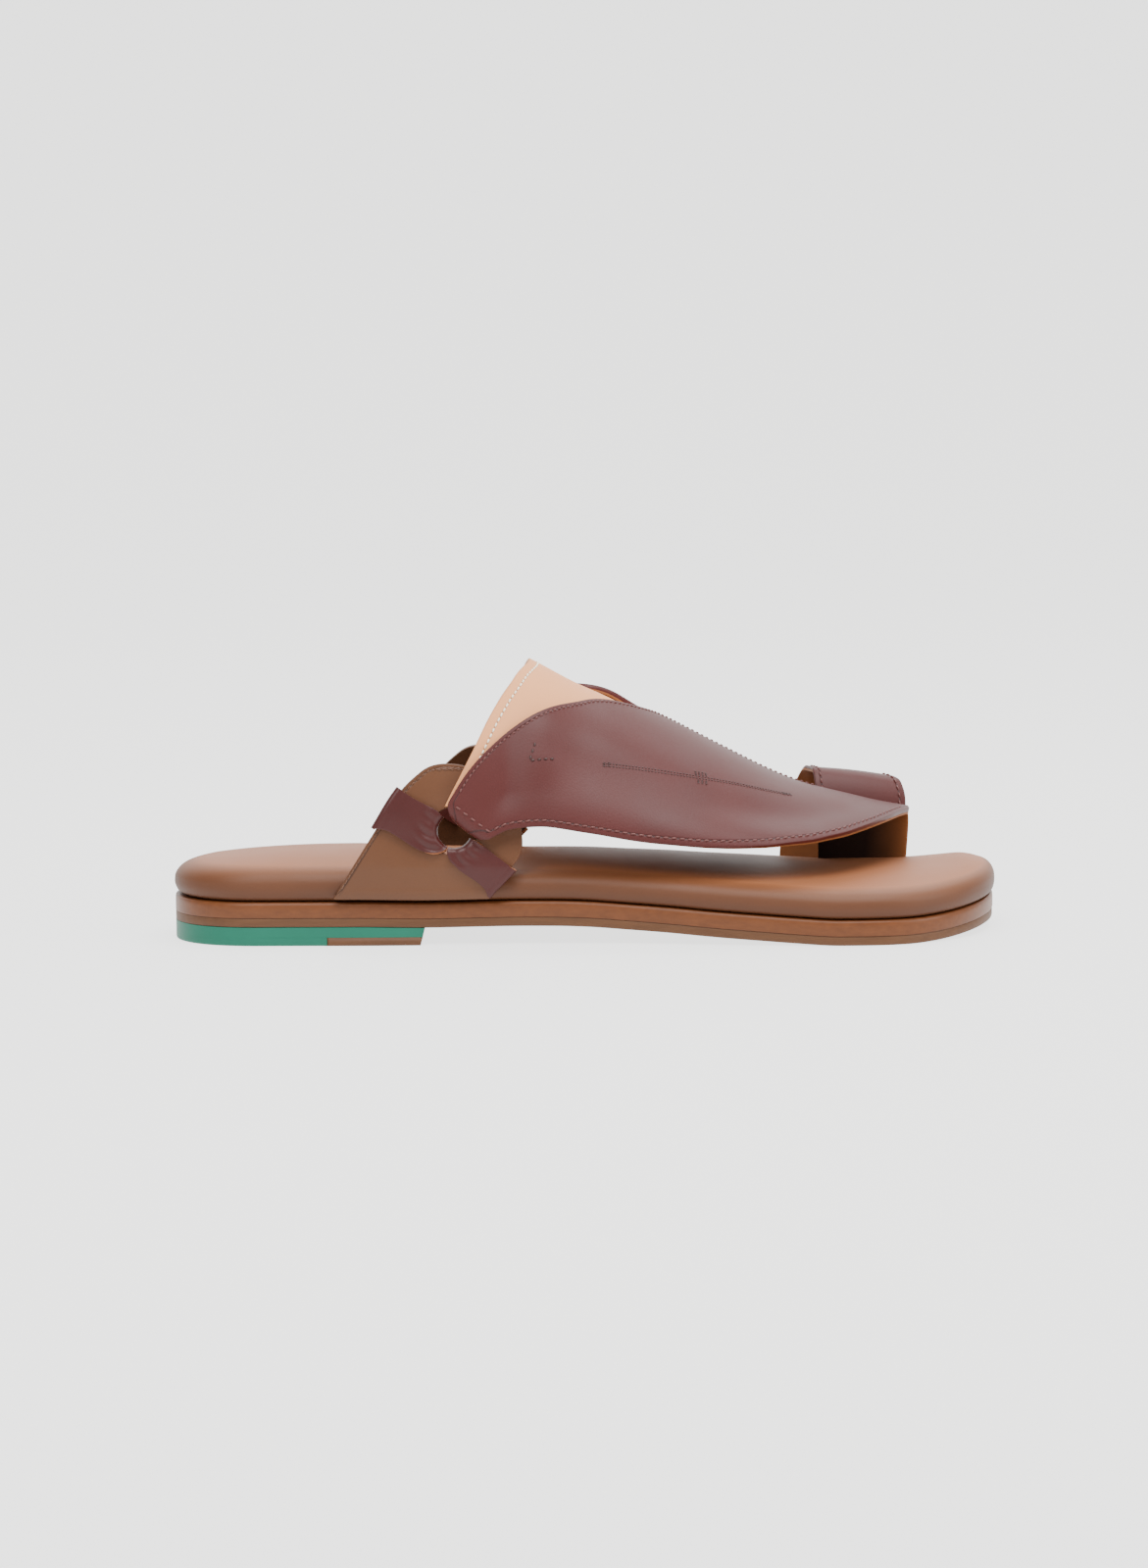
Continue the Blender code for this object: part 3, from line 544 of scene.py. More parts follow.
def footbed_thickness(x):
    """Thickness at the middle of the crowned footbed, more under the heel."""
    return FOOTBED_THICKNESS * (1 + HEEL_PADDING * np.clip((0.42 - x_to_along(x)) / 0.2, 0, 1))


def footbed_top(x):
    """Height of the footbed's crown."""
    return welt_top(x) + footbed_thickness(x)


def foot_line(x):
    """Height of the two feet of the upper's arch."""
    return welt_top(x) + FOOTBED_THICKNESS * (1 + 0.05 * np.clip((0.3 - x_to_along(x)) / 0.2, 0, 1))


def side_scale(x):
    """How wide the footbed's rounded side is: rounder at the heel, blunter at the toe."""
    along = x_to_along(x)
    return 1 + 0.35 * np.clip((0.12 - along) / 0.12, 0, 1) - 0.4 * np.clip((along - 0.92) / 0.08, 0, 1)


def sole_scale(x):
    """How far the sole's layers stand in from the footbed: almost flush at the back of the heel."""
    return 1 - 0.75 * np.clip((0.08 - x_to_along(x)) / 0.08, 0, 1)


def crown(x, share, ends, height):
    """Rise of the footbed's middle over its rim: 1 - |share|^CROWN_POWER across, rounded off at its ends."""
    from_heel = np.clip(1 - (x - ends[0]) / HEEL_CROWN_RUN, 0, 1)
    from_toe = np.clip(1 - (ends[1] - x) / TOE_CROWN_RUN, 0, 1)
    rise = height * footbed_thickness(x) / FOOTBED_THICKNESS
    return rise * (1 - np.abs(share) ** CROWN_POWER) * (1 - from_heel**2) * (1 - from_toe**2)


def arch(x, turn):
    """Two quarter ellipses over the foot at each x, then straight down past the medial foot."""
    x, turn = np.broadcast_arrays(np.asarray(x, float), np.asarray(turn, float))
    along = x_to_along(x)
    crest = read(ARCH, "crest", along) * UPPER_HEIGHT
    lean = read(ARCH, "lean", along) * BALL_WIDTH
    lateral = read(ARCH, "lateral", along) * BALL_WIDTH
    medial = read(ARCH, "medial", along) * BALL_WIDTH
    base = foot_line(x)
    angle = np.minimum(turn, 2) * math.pi / 2
    foot = np.where(turn < 1, lateral, medial)
    y = lean + (foot - lean) * np.abs(np.cos(angle))
    z = base + (crest - base) * np.sin(angle) - np.maximum(turn - 2, 0) * POST_DROP
    return np.stack([x, y, z], axis=-1)


def slopes(surface, x, turn):
    """Change of a surface with x and with turn, by central differences."""
    step = 0.05 * MM
    ahead = (surface(x + step, turn) - surface(x - step, turn)) / (2 * step)
    over = (surface(x, turn + 0.0005) - surface(x, turn - 0.0005)) / 0.001
    return ahead, over


def arch_normal(x, turn):
    """Outward direction of the arch."""
    x, turn = np.broadcast_arrays(np.asarray(x, float), np.asarray(turn, float))
    return unit(np.cross(*slopes(arch, x, turn)))


def wing_relief(x, turn, side):
    """How far a wing stands off the arch: a sum of bell curves exp(-(distance / width)^2), for the flared
    lower edge, the hollow over it, the trough and ridge behind, and the medial wing's overlap at the seam."""
    along = x_to_along(x)
    table = LATERAL_LOW if side < 0 else MEDIAL_LOW
    rise = np.abs(turn - read(table, "turn", along))
    window = soft_step((along - 0.40) / 0.08) * (1 - soft_step((along - 0.74) / 0.12))
    flare = FLARE_HEIGHT * np.exp(-((rise / FLARE_WIDTH) ** 2)) * window
    hollow = -HOLLOW_DEPTH * np.exp(-(((rise - HOLLOW_PLACE) / HOLLOW_WIDTH) ** 2)) * window
    shift = 0 if side < 0 else MEDIAL_SHIFT / LENGTH
    near = along - shift
    trough = -TROUGH_DEPTH * np.exp(-(((near - TROUGH_ALONG) / TROUGH_WIDTH) ** 2))
    ridge = RIDGE_HEIGHT * np.exp(-(((near - RIDGE_ALONG) / RIDGE_WIDTH) ** 2))
    creases = trough * soft_step((rise - 0.02) / 0.10) + ridge * soft_step((rise - 0.10) / 0.15)
    relief = flare + hollow + creases * soft_step((0.62 - rise) / 0.3)
    if side > 0:
        seam = read(SEAM, "turn", along)
        under = soft_step((along - 0.600) / 0.03) * soft_step((seam + 0.12 - turn) / 0.11)
        stands = np.exp(-(((along - 0.525) / 0.030) ** 2)) * soft_step((1.42 - turn) / 0.2)
        relief = relief - OVERLAP_DEPTH * under + STAND_OFF * stands
    return relief


def wing_point(x, turn, side, off=0.0):
    """Wing surface: arch(x, turn) + normal(x, turn) * (relief + off)."""
    x, turn = np.broadcast_arrays(np.asarray(x, float), np.asarray(turn, float))
    lift = (wing_relief(x, turn, side) + off)[..., None]
    return arch(x, turn) + arch_normal(x, turn) * lift


def slide(surface, x, turn, move):
    """The (x, turn) reached by moving along a surface: least squares on its two slopes."""
    for _ in range(3):
        ahead, over = slopes(surface, x, turn)
        aa = (ahead * ahead).sum(-1)
        ab = (ahead * over).sum(-1)
        bb = (over * over).sum(-1)
        ma = (ahead * move).sum(-1)
        mb = (over * move).sum(-1)
        det = aa * bb - ab * ab
        dx = (ma * bb - mb * ab) / det
        dt = (mb * aa - ma * ab) / det
        start = surface(x, turn)
        x = x + dx
        turn = turn + dt
        move = move - (surface(x, turn) - start)
    return x, turn


def tab_point(x, z, side):
    """Middle surface of a side tab: up the footbed's side, then inside the upper's arch."""
    x, z = np.broadcast_arrays(np.asarray(x, float), np.asarray(z, float))
    above = z - welt_top(x)
    inset = read(FOOTBED_SIDE, "inset", np.clip(above, 0, SIDE_STRAIGHT))
    low = np.abs(side_of_outline(x, side)) - inset + 1.6 * GAP + sizes().tab / 2
    low = low + TAB_FLAT * np.clip((above - 2 * MM) / (10 * MM), 0, 1)
    along = x_to_along(x)
    crest = read(ARCH, "crest", along) * UPPER_HEIGHT
    foot = np.abs(read(ARCH, "lateral" if side < 0 else "medial", along)) * BALL_WIDTH
    lean = read(ARCH, "lean", along) * BALL_WIDTH * side
    base = foot_line(x)
    sine = np.clip((z - base) / (crest - base), 0, 1)
    under = 4 * GAP + sizes().panel + sizes().tab / 2
    slope = (foot - lean) * sine / np.sqrt(1 - sine**2) / (crest - base)
    high = lean + (foot - lean) * np.sqrt(1 - sine**2) - under * np.sqrt(1 + slope**2)
    mix = soft_step((above - TAB_BEND_START) / TAB_BEND_RUN)
    return np.stack([x, side * (low * (1 - mix) + high * mix), z], axis=-1)


def tab_normal(x, z, side):
    """Outward direction of a side tab."""
    step = 0.1 * MM
    forward = tab_point(x + step, z, side) - tab_point(x - step, z, side)
    up = tab_point(x, z + step, side) - tab_point(x, z - step, side)
    return -side * unit(np.cross(forward, up))


def tab_outline(shift):
    """The tab's outline in (x, z), its two lower corners kept. A shifted tab leans: below its ring its front
    edge stays where it is."""
    rows = even(TAB_OUTLINE, 240)
    behind = np.arange(len(rows)) > np.argmax(rows[:, 1])
    lean = soft_step((rows[:, 1] - TAB_LEAN_START) / TAB_LEAN_RUN)
    x = along_to_x(rows[:, 0]) + shift * np.where(behind, 1, lean)
    z = welt_top(x) + rows[:, 1] * TAB_HEIGHT
    bottom = np.linspace(x[-1], x[0], 30)[1:-1]
    low = welt_top(bottom) + rows[0, 1] * TAB_HEIGHT
    return np.stack([np.concatenate([x, bottom]), np.concatenate([z, low])], axis=1)


def reach(outline, centre, angles):
    """Distance from the hole's centre to the outline at these angles."""
    offset = outline - centre
    turn = np.unwrap(np.arctan2(offset[:, 1], offset[:, 0]))
    turn = np.concatenate([turn, turn + 2 * math.pi, turn + 4 * math.pi])
    radius = np.tile(np.linalg.norm(offset, axis=1), 3)
    wanted = np.mod(np.asarray(angles) - turn[0], 2 * math.pi) + turn[0]
    return np.interp(wanted, turn, radius)


def ring_centre(shift):
    """Middle of a ring's hole in (x, z)."""
    return np.array([along_to_x(RING_ALONG) + shift, RING_HEIGHT])


# Meshes.


def grid_quads(rows, columns, flip=False, wrap=False):
    """Index quads over a grid stored row by row; wrap closes each row on itself."""
    i, j = np.meshgrid(np.arange(rows - 1), np.arange(columns if wrap else columns - 1), indexing="ij")
    nxt = (j + 1) % columns
    quads = np.stack([i * columns + j, (i + 1) * columns + j, (i + 1) * columns + nxt, i * columns + nxt], -1)
    quads = quads.reshape(-1, 4)
    return quads[:, ::-1] if flip else quads


def make_mesh(name, points, quads, materials, values=None):
    """A smooth mesh object from arrays of points and four-cornered faces, with named values on its points."""
    points = np.asarray(points, float).reshape(-1, 3)
    mesh = bpy.data.meshes.new(name)
    mesh.vertices.add(len(points))
    mesh.vertices.foreach_set("co", points.ravel())
    mesh.loops.add(quads.size)
    mesh.loops.foreach_set("vertex_index", quads.ravel().astype(np.int32))
    mesh.polygons.add(len(quads))
    mesh.polygons.foreach_set("loop_start", (np.arange(len(quads)) * 4).astype(np.int32))
    mesh.polygons.foreach_set("use_smooth", np.ones(len(quads), bool))
    mesh.update(calc_edges=True)
    for word, numbers in (values or {}).items():
        layer = mesh.attributes.new(word, "FLOAT", "POINT")
        layer.data.foreach_set("value", np.asarray(numbers, np.float32).ravel())
    for material in materials:
        mesh.materials.append(material)
    obj = bpy.data.objects.new(name, mesh)
    bpy.context.scene.collection.objects.link(obj)
    return obj


def merge(obj, distance=0.005 * MM):
    """Points that coincide made one."""
    work = bmesh.new()
    work.from_mesh(obj.data)
    bmesh.ops.remove_doubles(work, verts=work.verts, dist=distance)
    bmesh.ops.dissolve_degenerate(work, edges=work.edges, dist=distance)
    work.to_mesh(obj.data)
    work.free()


def outwards(obj):
    """Normals of a closed mesh made to point outwards."""
    work = bmesh.new()
    work.from_mesh(obj.data)
    bmesh.ops.recalc_face_normals(work, faces=work.faces)
    work.to_mesh(obj.data)
    work.free()


def edge_distance(points, border):
    """Distance in millimetres from each point to the nearest of the border's points."""
    points = points.reshape(-1, 3)
    nearest = np.full(len(points), 1e9)
    for start in range(0, len(border), 64):
        part = border[start : start + 64]
        gap = np.linalg.norm(points[:, None] - part[None], axis=2).min(axis=1)
        nearest = np.minimum(nearest, gap)
    return nearest / MM


def thicken(obj, thickness, offset, rim=0, inner=0, round_off=0.0, segments=2):
    """Solidify, and a Bevel that rounds the cut edge."""
    shell = obj.modifiers.new("Thickness", "SOLIDIFY")
    shell.thickness = thickness
    shell.offset = offset
    shell.use_quality_normals = True
    shell.thickness_clamp = 0
    shell.material_offset_rim = rim
    shell.material_offset = inner
    if round_off:
        edge = obj.modifiers.new("Rounded edge", "BEVEL")
        edge.width = round_off
        edge.segments = segments
        edge.limit_method = "ANGLE"
        edge.angle_limit = math.radians(50)
        edge.harden_normals = False
    return obj


def belongs(obj, slot, *nodes):
    """The piece rides with the shoe and stands for its CAD nodes; the slot is not used."""
    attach(obj, "root")
    if nodes:
        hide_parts(*nodes)


# Materials.


def new_group(name, inputs, outputs):
    """An empty node group with named sockets, and its two end nodes."""
    group = bpy.data.node_groups.new(name, "ShaderNodeTree")
    for word, kind, default in inputs:
        socket = group.interface.new_socket(word, in_out="INPUT", socket_type=kind)
        if default is not None:
            socket.default_value = default
    for word, kind in outputs:
        group.interface.new_socket(word, in_out="OUTPUT", socket_type=kind)
    return group, group.nodes.new("NodeGroupInput"), group.nodes.new("NodeGroupOutput")


def node(tree, kind, **settings):
    """A node with its settings."""
    made = tree.nodes.new(kind)
    for word, value in settings.items():
        setattr(made, word, value)
    return made


def math_node(tree, operation, a, b=None, clamp=False):
    """Result of one sum on sockets or numbers."""
    made = node(tree, "ShaderNodeMath", operation=operation, use_clamp=clamp)
    for place, value in enumerate((a, b)):
        if value is None:
            continue
        if isinstance(value, bpy.types.NodeSocket):
            tree.links.new(value, made.inputs[place])
        else:
            made.inputs[place].default_value = value
    return made.outputs[0]


def noise(tree, vector, scale, detail=3.0, rough=0.5):
    """Noise between 0 and 1 at a place."""
    made = node(tree, "ShaderNodeTexNoise")
    made.inputs["Scale"].default_value = scale
    made.inputs["Detail"].default_value = detail
    made.inputs["Roughness"].default_value = rough
    tree.links.new(vector, made.inputs["Vector"])
    return made.outputs["Fac"]


def grain_group():
    """Leather grain: fine pebbles from cell distance, pores and slow mottling, as three outputs."""
    if "Leather grain" in bpy.data.node_groups:
        return bpy.data.node_groups["Leather grain"]
    group, into, out = new_group(
        "Leather grain",
        (("Pebble scale", "NodeSocketFloat", 1400.0), ("Softness", "NodeSocketFloat", 0.5)),
        (("Height", "NodeSocketFloat"), ("Mottle", "NodeSocketFloat"), ("Pore", "NodeSocketFloat")),
    )
    place = node(group, "ShaderNodeTexCoord").outputs["Object"]
    cells = node(group, "ShaderNodeTexVoronoi", feature="SMOOTH_F1")
    group.links.new(place, cells.inputs["Vector"])
    group.links.new(into.outputs["Pebble scale"], cells.inputs["Scale"])
    group.links.new(into.outputs["Softness"], cells.inputs["Smoothness"])
    fine = noise(group, place, 2600.0, 3.0, 0.6)
    coarse = noise(group, place, 260.0, 4.0, 0.55)
    slow = noise(group, place, 38.0, 4.0, 0.55)
    pebble = math_node(group, "MULTIPLY", cells.outputs["Distance"], 0.55)
    pebble = math_node(group, "ADD", pebble, math_node(group, "MULTIPLY", fine, 0.35))
    height = math_node(group, "ADD", pebble, math_node(group, "MULTIPLY", coarse, 0.45))
    pore = math_node(group, "SUBTRACT", fine, 0.56)
    pore = math_node(group, "MULTIPLY", pore, 6.0, clamp=True)
    group.links.new(height, out.inputs["Height"])
    group.links.new(slow, out.inputs["Mottle"])
    group.links.new(pore, out.inputs["Pore"])
    return group


def margin_group():
    """Sewn margin from the edge value in millimetres: a groove under the thread, a mask at the cut edge."""
    if "Sewn margin" in bpy.data.node_groups:
        return bpy.data.node_groups["Sewn margin"]
    group, into, out = new_group(
        "Sewn margin",
        (("Stitch line", "NodeSocketFloat", 2.1), ("Width", "NodeSocketFloat", 0.55)),
        (("Groove", "NodeSocketFloat"), ("Edge", "NodeSocketFloat")),
    )
    edge = node(group, "ShaderNodeAttribute", attribute_name="edge").outputs["Fac"]
    away = math_node(group, "ABSOLUTE", math_node(group, "SUBTRACT", edge, into.outputs["Stitch line"]))
    groove = math_node(group, "DIVIDE", away, into.outputs["Width"])
    groove = math_node(group, "SUBTRACT", 1.0, groove, clamp=True)
    groove = math_node(group, "MULTIPLY", groove, groove)
    rim = math_node(group, "DIVIDE", edge, 0.8)
    rim = math_node(group, "SUBTRACT", 1.0, rim, clamp=True)
    group.links.new(groove, out.inputs["Groove"])
    group.links.new(rim, out.inputs["Edge"])
    return group


def mix_colour(tree, fac, a, b):
    """Colour between a and b by the mask."""
    made = node(tree, "ShaderNodeMix", data_type="RGBA")
    for socket, value in ((made.inputs[0], fac), (made.inputs[6], a), (made.inputs[7], b)):
        if isinstance(value, bpy.types.NodeSocket):
            tree.links.new(value, socket)
        elif isinstance(value, float):
            socket.default_value = value
        else:
            socket.default_value = (*value, 1)
    return made.outputs[2]


def shade(colour, by):
    """A colour made lighter or darker."""
    return tuple(min(1.0, max(0.0, c * by)) for c in colour)


def plain_material(name, roughness, specular=0.5):
    """A new material with its tree and its shader."""
    material = bpy.data.materials.new(name)
    material.use_nodes = True
    tree = material.node_tree
    shader = tree.nodes["Principled BSDF"]
    shader.inputs["Roughness"].default_value = roughness
    shader.inputs["Specular IOR Level"].default_value = specular
    return material, tree, shader


def bump(tree, shader, height, strength, distance):
    """A height laid on the shader's normal."""
    made = node(tree, "ShaderNodeBump")
    made.inputs["Strength"].default_value = strength
    made.inputs["Distance"].default_value = distance
    tree.links.new(height, made.inputs["Height"])
    tree.links.new(made.outputs["Normal"], shader.inputs["Normal"])


def leather(
    name, colour, roughness, grain=1.0, pebble=1400.0, margin=None, shine=0.3, spread=0.18, painted_light=None
):
    """Dyed leather: mottled colour, darker pores, worn edge, painted shade in the stitch groove, an optional
    painted light that makes the top lighter, grain and stitch groove as bump.
    """
    if name in bpy.data.materials:
        return bpy.data.materials[name]
    material, tree, shader = plain_material(name, roughness, shine)
    grain_node = node(tree, "ShaderNodeGroup", node_tree=grain_group())
    grain_node.inputs["Pebble scale"].default_value = pebble
    mottle = grain_node.outputs["Mottle"]
    base = mix_colour(tree, mottle, shade(colour, 1 - spread), shade(colour, 1 + spread))
    # Painted light: the piece is made lighter towards its top, by the top value, for the light from above and
    # the backdrop's reflection.
    if painted_light is not None:
        top = node(tree, "ShaderNodeAttribute", attribute_name="top").outputs["Fac"]
        base = mix_colour(tree, top, base, painted_light)
    pores = math_node(tree, "MULTIPLY", grain_node.outputs["Pore"], 0.22)
    base = mix_colour(tree, pores, base, shade(colour, 0.55))
    height = math_node(tree, "MULTIPLY", grain_node.outputs["Height"], grain)
    if margin is not None:
        sewn = node(tree, "ShaderNodeGroup", node_tree=margin_group())
        sewn.inputs["Stitch line"].default_value = margin
        groove = sewn.outputs["Groove"]
        # Painted shade in the stitch groove: the leather's colour is darkened under the thread.
        sunk = math_node(tree, "MULTIPLY", groove, 0.9, clamp=True)
        base = mix_colour(tree, sunk, base, shade(colour, 0.28))
        worn = math_node(tree, "MULTIPLY", sewn.outputs["Edge"], 0.45)
        base = mix_colour(tree, worn, base, shade(colour, 0.6))
        height = math_node(tree, "SUBTRACT", height, math_node(tree, "MULTIPLY", groove, 5.0))
    tree.links.new(base, shader.inputs["Base Color"])
    rough = math_node(tree, "MULTIPLY", mottle, 0.16)
    tree.links.new(math_node(tree, "ADD", rough, roughness - 0.08), shader.inputs["Roughness"])
    bump(tree, shader, height, 0.55, 0.06 * MM)
    return material


def edge_leather(name, colour, roughness=0.55, fibre=420.0, stretch=(0.12, 1.0, 1.0), strength=0.5):
    """Cut leather seen from its edge: fibres drawn out along the shoe, in bands of light and dark."""
    if name in bpy.data.materials:
        return bpy.data.materials[name]
    material, tree, shader = plain_material(name, roughness, 0.25)
    place = node(tree, "ShaderNodeTexCoord").outputs["Object"]
    drawn = node(tree, "ShaderNodeMapping")
    drawn.inputs["Scale"].default_value = stretch
    tree.links.new(place, drawn.inputs["Vector"])
    fibres = noise(tree, drawn.outputs["Vector"], fibre, 6.0, 0.62)
    slow = noise(tree, place, 42.0, 3.0, 0.5)
    dots = noise(tree, place, 1900.0, 2.0, 0.6)
    base = mix_colour(tree, fibres, shade(colour, 0.50), shade(colour, 1.50))
    base = mix_colour(tree, math_node(tree, "MULTIPLY", slow, 0.45), base, shade(colour, 1.2))
    tree.links.new(base, shader.inputs["Base Color"])
    height = math_node(tree, "ADD", fibres, math_node(tree, "MULTIPLY", dots, 0.4))
    bump(tree, shader, height, strength, 0.10 * MM)
    return material


def thread_material(name, colour):
    """Waxed thread: twisted bands of light and dark."""
    if name in bpy.data.materials:
        return bpy.data.materials[name]
    material, tree, shader = plain_material(name, 0.5)
    place = node(tree, "ShaderNodeTexCoord").outputs["Object"]
    twist = noise(tree, place, 3200.0, 2.0, 0.5)
    base = mix_colour(tree, twist, shade(colour, 0.7), shade(colour, 1.3))
    tree.links.new(base, shader.inputs["Base Color"])
    bump(tree, shader, twist, 0.4, 0.05 * MM)
    return material


def wing_leather():
    """Burgundy leather with its sewn margin."""
    margin = sizes().margin / MM
    return leather("burgundy leather", tuple(colours().wing), 0.50, grain=1.2, margin=margin, shine=0.28)


def tan_lining():
    """Tan lining leather."""
    return leather("tan lining", tuple(colours().lining), 0.62, grain=0.9, pebble=900.0, spread=0.22)


def dark_lining():
    """Lining of the wings: tan by its cut edges, darker away from them, from a dark stain and painted shade
    under the wings.
    """
    name = "dark lining"
    if name in bpy.data.materials:
        return bpy.data.materials[name]
    material, tree, shader = plain_material(name, 0.6, 0.1)
    light, dark = tuple(colours().lining), tuple(colours().inside)
    grain = node(tree, "ShaderNodeGroup", node_tree=grain_group())
    grain.inputs["Pebble scale"].default_value = 900.0
    edge = node(tree, "ShaderNodeAttribute", attribute_name="edge").outputs["Fac"]
    # Darker with distance from the cut edges: painted shade under the wings, together with a dark stain.
    inside = math_node(tree, "DIVIDE", math_node(tree, "SUBTRACT", edge, 0.5), 14.0, clamp=True)
    inside = math_node(tree, "POWER", inside, 0.45)
    tan = mix_colour(tree, grain.outputs["Mottle"], shade(light, 0.78), shade(light, 1.22))
    brown = mix_colour(tree, grain.outputs["Mottle"], shade(dark, 0.5), shade(dark, 1.5))
    tree.links.new(mix_colour(tree, inside, tan, brown), shader.inputs["Base Color"])
    bump(tree, shader, grain.outputs["Height"], 0.5, 0.06 * MM)
    return material


def burgundy_edge():
    """Painted edge of burgundy leather."""
    return leather("painted edge", shade(colours().wing, 1.1), 0.40, grain=0.3, shine=0.25)


# Sewing.


def stitches(name, path, normals, material, pitch, width, slant):
    """Thread along a path: each stitch is a rounded bar, raised in its middle and sunk at its ends."""
    length = steps_along(path)
    count = max(1, int(length[-1] / pitch))
    at = (np.arange(count) + 0.5) * length[-1] / count
    centre = resample(path, length, at)
    ahead = unit(resample(path, length, at + 0.3 * pitch) - resample(path, length, at - 0.3 * pitch))
    up = unit(resample(normals, length, at))
    side = unit(np.cross(up, ahead))
    ahead = unit(ahead * math.cos(slant) + side * math.sin(slant))
    side = unit(np.cross(up, ahead))
    run = np.linspace(-1, 1, 7)
    full = np.sqrt(np.clip(1 - np.abs(run) ** 3.0, 0.02, 1))
    arc = 0.30 * width * (1 - run**2 * 2.2)
    round_about = np.linspace(0, 2 * math.pi, 6, endpoint=False)
    half = 0.41 * pitch
    across = full[:, None] * np.cos(round_about)[None] * width / 2
    raised = arc[:, None] + full[:, None] * np.sin(round_about)[None] * width / 2
    points = (
        centre[:, None, None]
        + ahead[:, None, None] * (run * half)[None, :, None, None]
        + side[:, None, None] * across[None, :, :, None]
        + up[:, None, None] * raised[None, :, :, None]
    )
    one = grid_quads(7, 6, wrap=True)
    caps = np.array([[0, 1, 2, 3], [0, 3, 4, 5], [39, 38, 37, 36], [41, 40, 39, 36]])
    one = np.concatenate([one, caps])
    quads = (one[None] + (np.arange(count) * 42)[:, None, None]).reshape(-1, 4)
    obj = make_mesh(name, points, quads, [material])
    outwards(obj)
    return obj


def wing_stitches(name, rows, side, inward, material, margin, pitch, width):
    """Stitching a margin inside a wing's edge, given by rows of (along, turn) and a side sign for inward."""
    x, turn = along_to_x(rows[:, 0]), rows[:, 1]
    surface = lambda a, b: wing_point(a, b, side)
    ahead = unit(np.gradient(surface(x, turn), axis=0))
    aside = unit(np.cross(arch_normal(x, turn), ahead)) * inward
    x, turn = slide(surface, x, turn, aside * margin)
    path = wing_point(x, turn, side, sizes().leather + sizes().lining)
    return stitches(name, path, arch_normal(x, turn), material, pitch, width, 0.12)


# The sole.


def layer(
    name, levels, stations, x_start, x_end, materials, across=1, rise=None, front=None, scale=sole_scale
):
    """A layer of the sole: rings of the outline stacked by (inset, height), capped by strips across it."""
    step = np.linspace(0, math.pi, stations + 1)
    closed = x_end > along_to_x(0.98)
    x = x_start + (x_end - x_start) * (1 - np.cos(step if closed else step / 2)) / (2 if closed else 1)
    lateral = np.stack([x, side_of_outline(x, -1)], axis=1)
    medial = np.stack([x, side_of_outline(x, 1)], axis=1)
    outline = np.concatenate([lateral, medial[-2:0:-1] if closed else medial[:0:-1]])
    count = len(outline)
    ahead = unit(np.roll(outline, -1, axis=0) - outline)
    tangent = unit(ahead + np.roll(ahead, 1, axis=0))
    normal = np.stack([-tangent[:, 1], tangent[:, 0]], axis=1)
    rings = []
    for inset, height in levels:
        ring = outline + normal * (inset * scale(outline[:, 0]))[:, None]
        if not closed:
            back = front(height(ring[stations : stations + 2, 0])) if front else 0
            ring[stations : stations + 2, 0] = x_end - back
        rings.append(np.column_stack([ring, height(ring[:, 0])]))
    points = np.concatenate(rings)
    # How high on the piece a point is: 0 at the underside, rising to 1 on the top cap; on the footbed it
    # masks the painted light on its top.
    top = [np.repeat(np.linspace(0, 1, len(levels)) ** 3, count)]
    quads = [grid_quads(len(levels), count, flip=True, wrap=True)]
    low_side = np.arange(stations + 1)
    high_side = (count - low_side) % count
    for ring, flip in ((rings[-1], True), (rings[0], False)):
        mix = np.linspace(0, 1, across + 1)[None, :, None]
        cap = ring[low_side][:, None] * (1 - mix) + ring[high_side][:, None] * mix
        if rise is not None and flip:
            cap[..., 2] += rise(cap[..., 0], mix[..., 0] * 2 - 1, (ring[0, 0], ring[stations, 0]))
        quads.append(grid_quads(stations + 1, across + 1, flip=not flip) + len(points))
        points = np.concatenate([points, cap.reshape(-1, 3)])
        top.append(np.full(cap[..., 0].size, float(flip)))
    obj = make_mesh(name, points, np.concatenate(quads), materials, {"top": np.concatenate(top)})
    merge(obj, 0.002 * MM)
    outwards(obj)
    obj.data.set_sharp_from_angle(angle=math.radians(50))
    return obj


def lift(base, height):
    """A surface raised by a height."""
    return lambda x: base(x) + height


def ground(x):
    """The floor."""
    return np.zeros(np.shape(x))


def top_piece_level(x):
    """Height of the heel's top piece."""
    return np.full(np.shape(x), TOP_PIECE_HEIGHT)


def stacked(inset, *rows):
    """Levels of a layer from rows of (further inset, surface, height over it), in millimetres."""
    return [(inset + further * MM, lift(base, height * MM)) for further, base, height in rows]


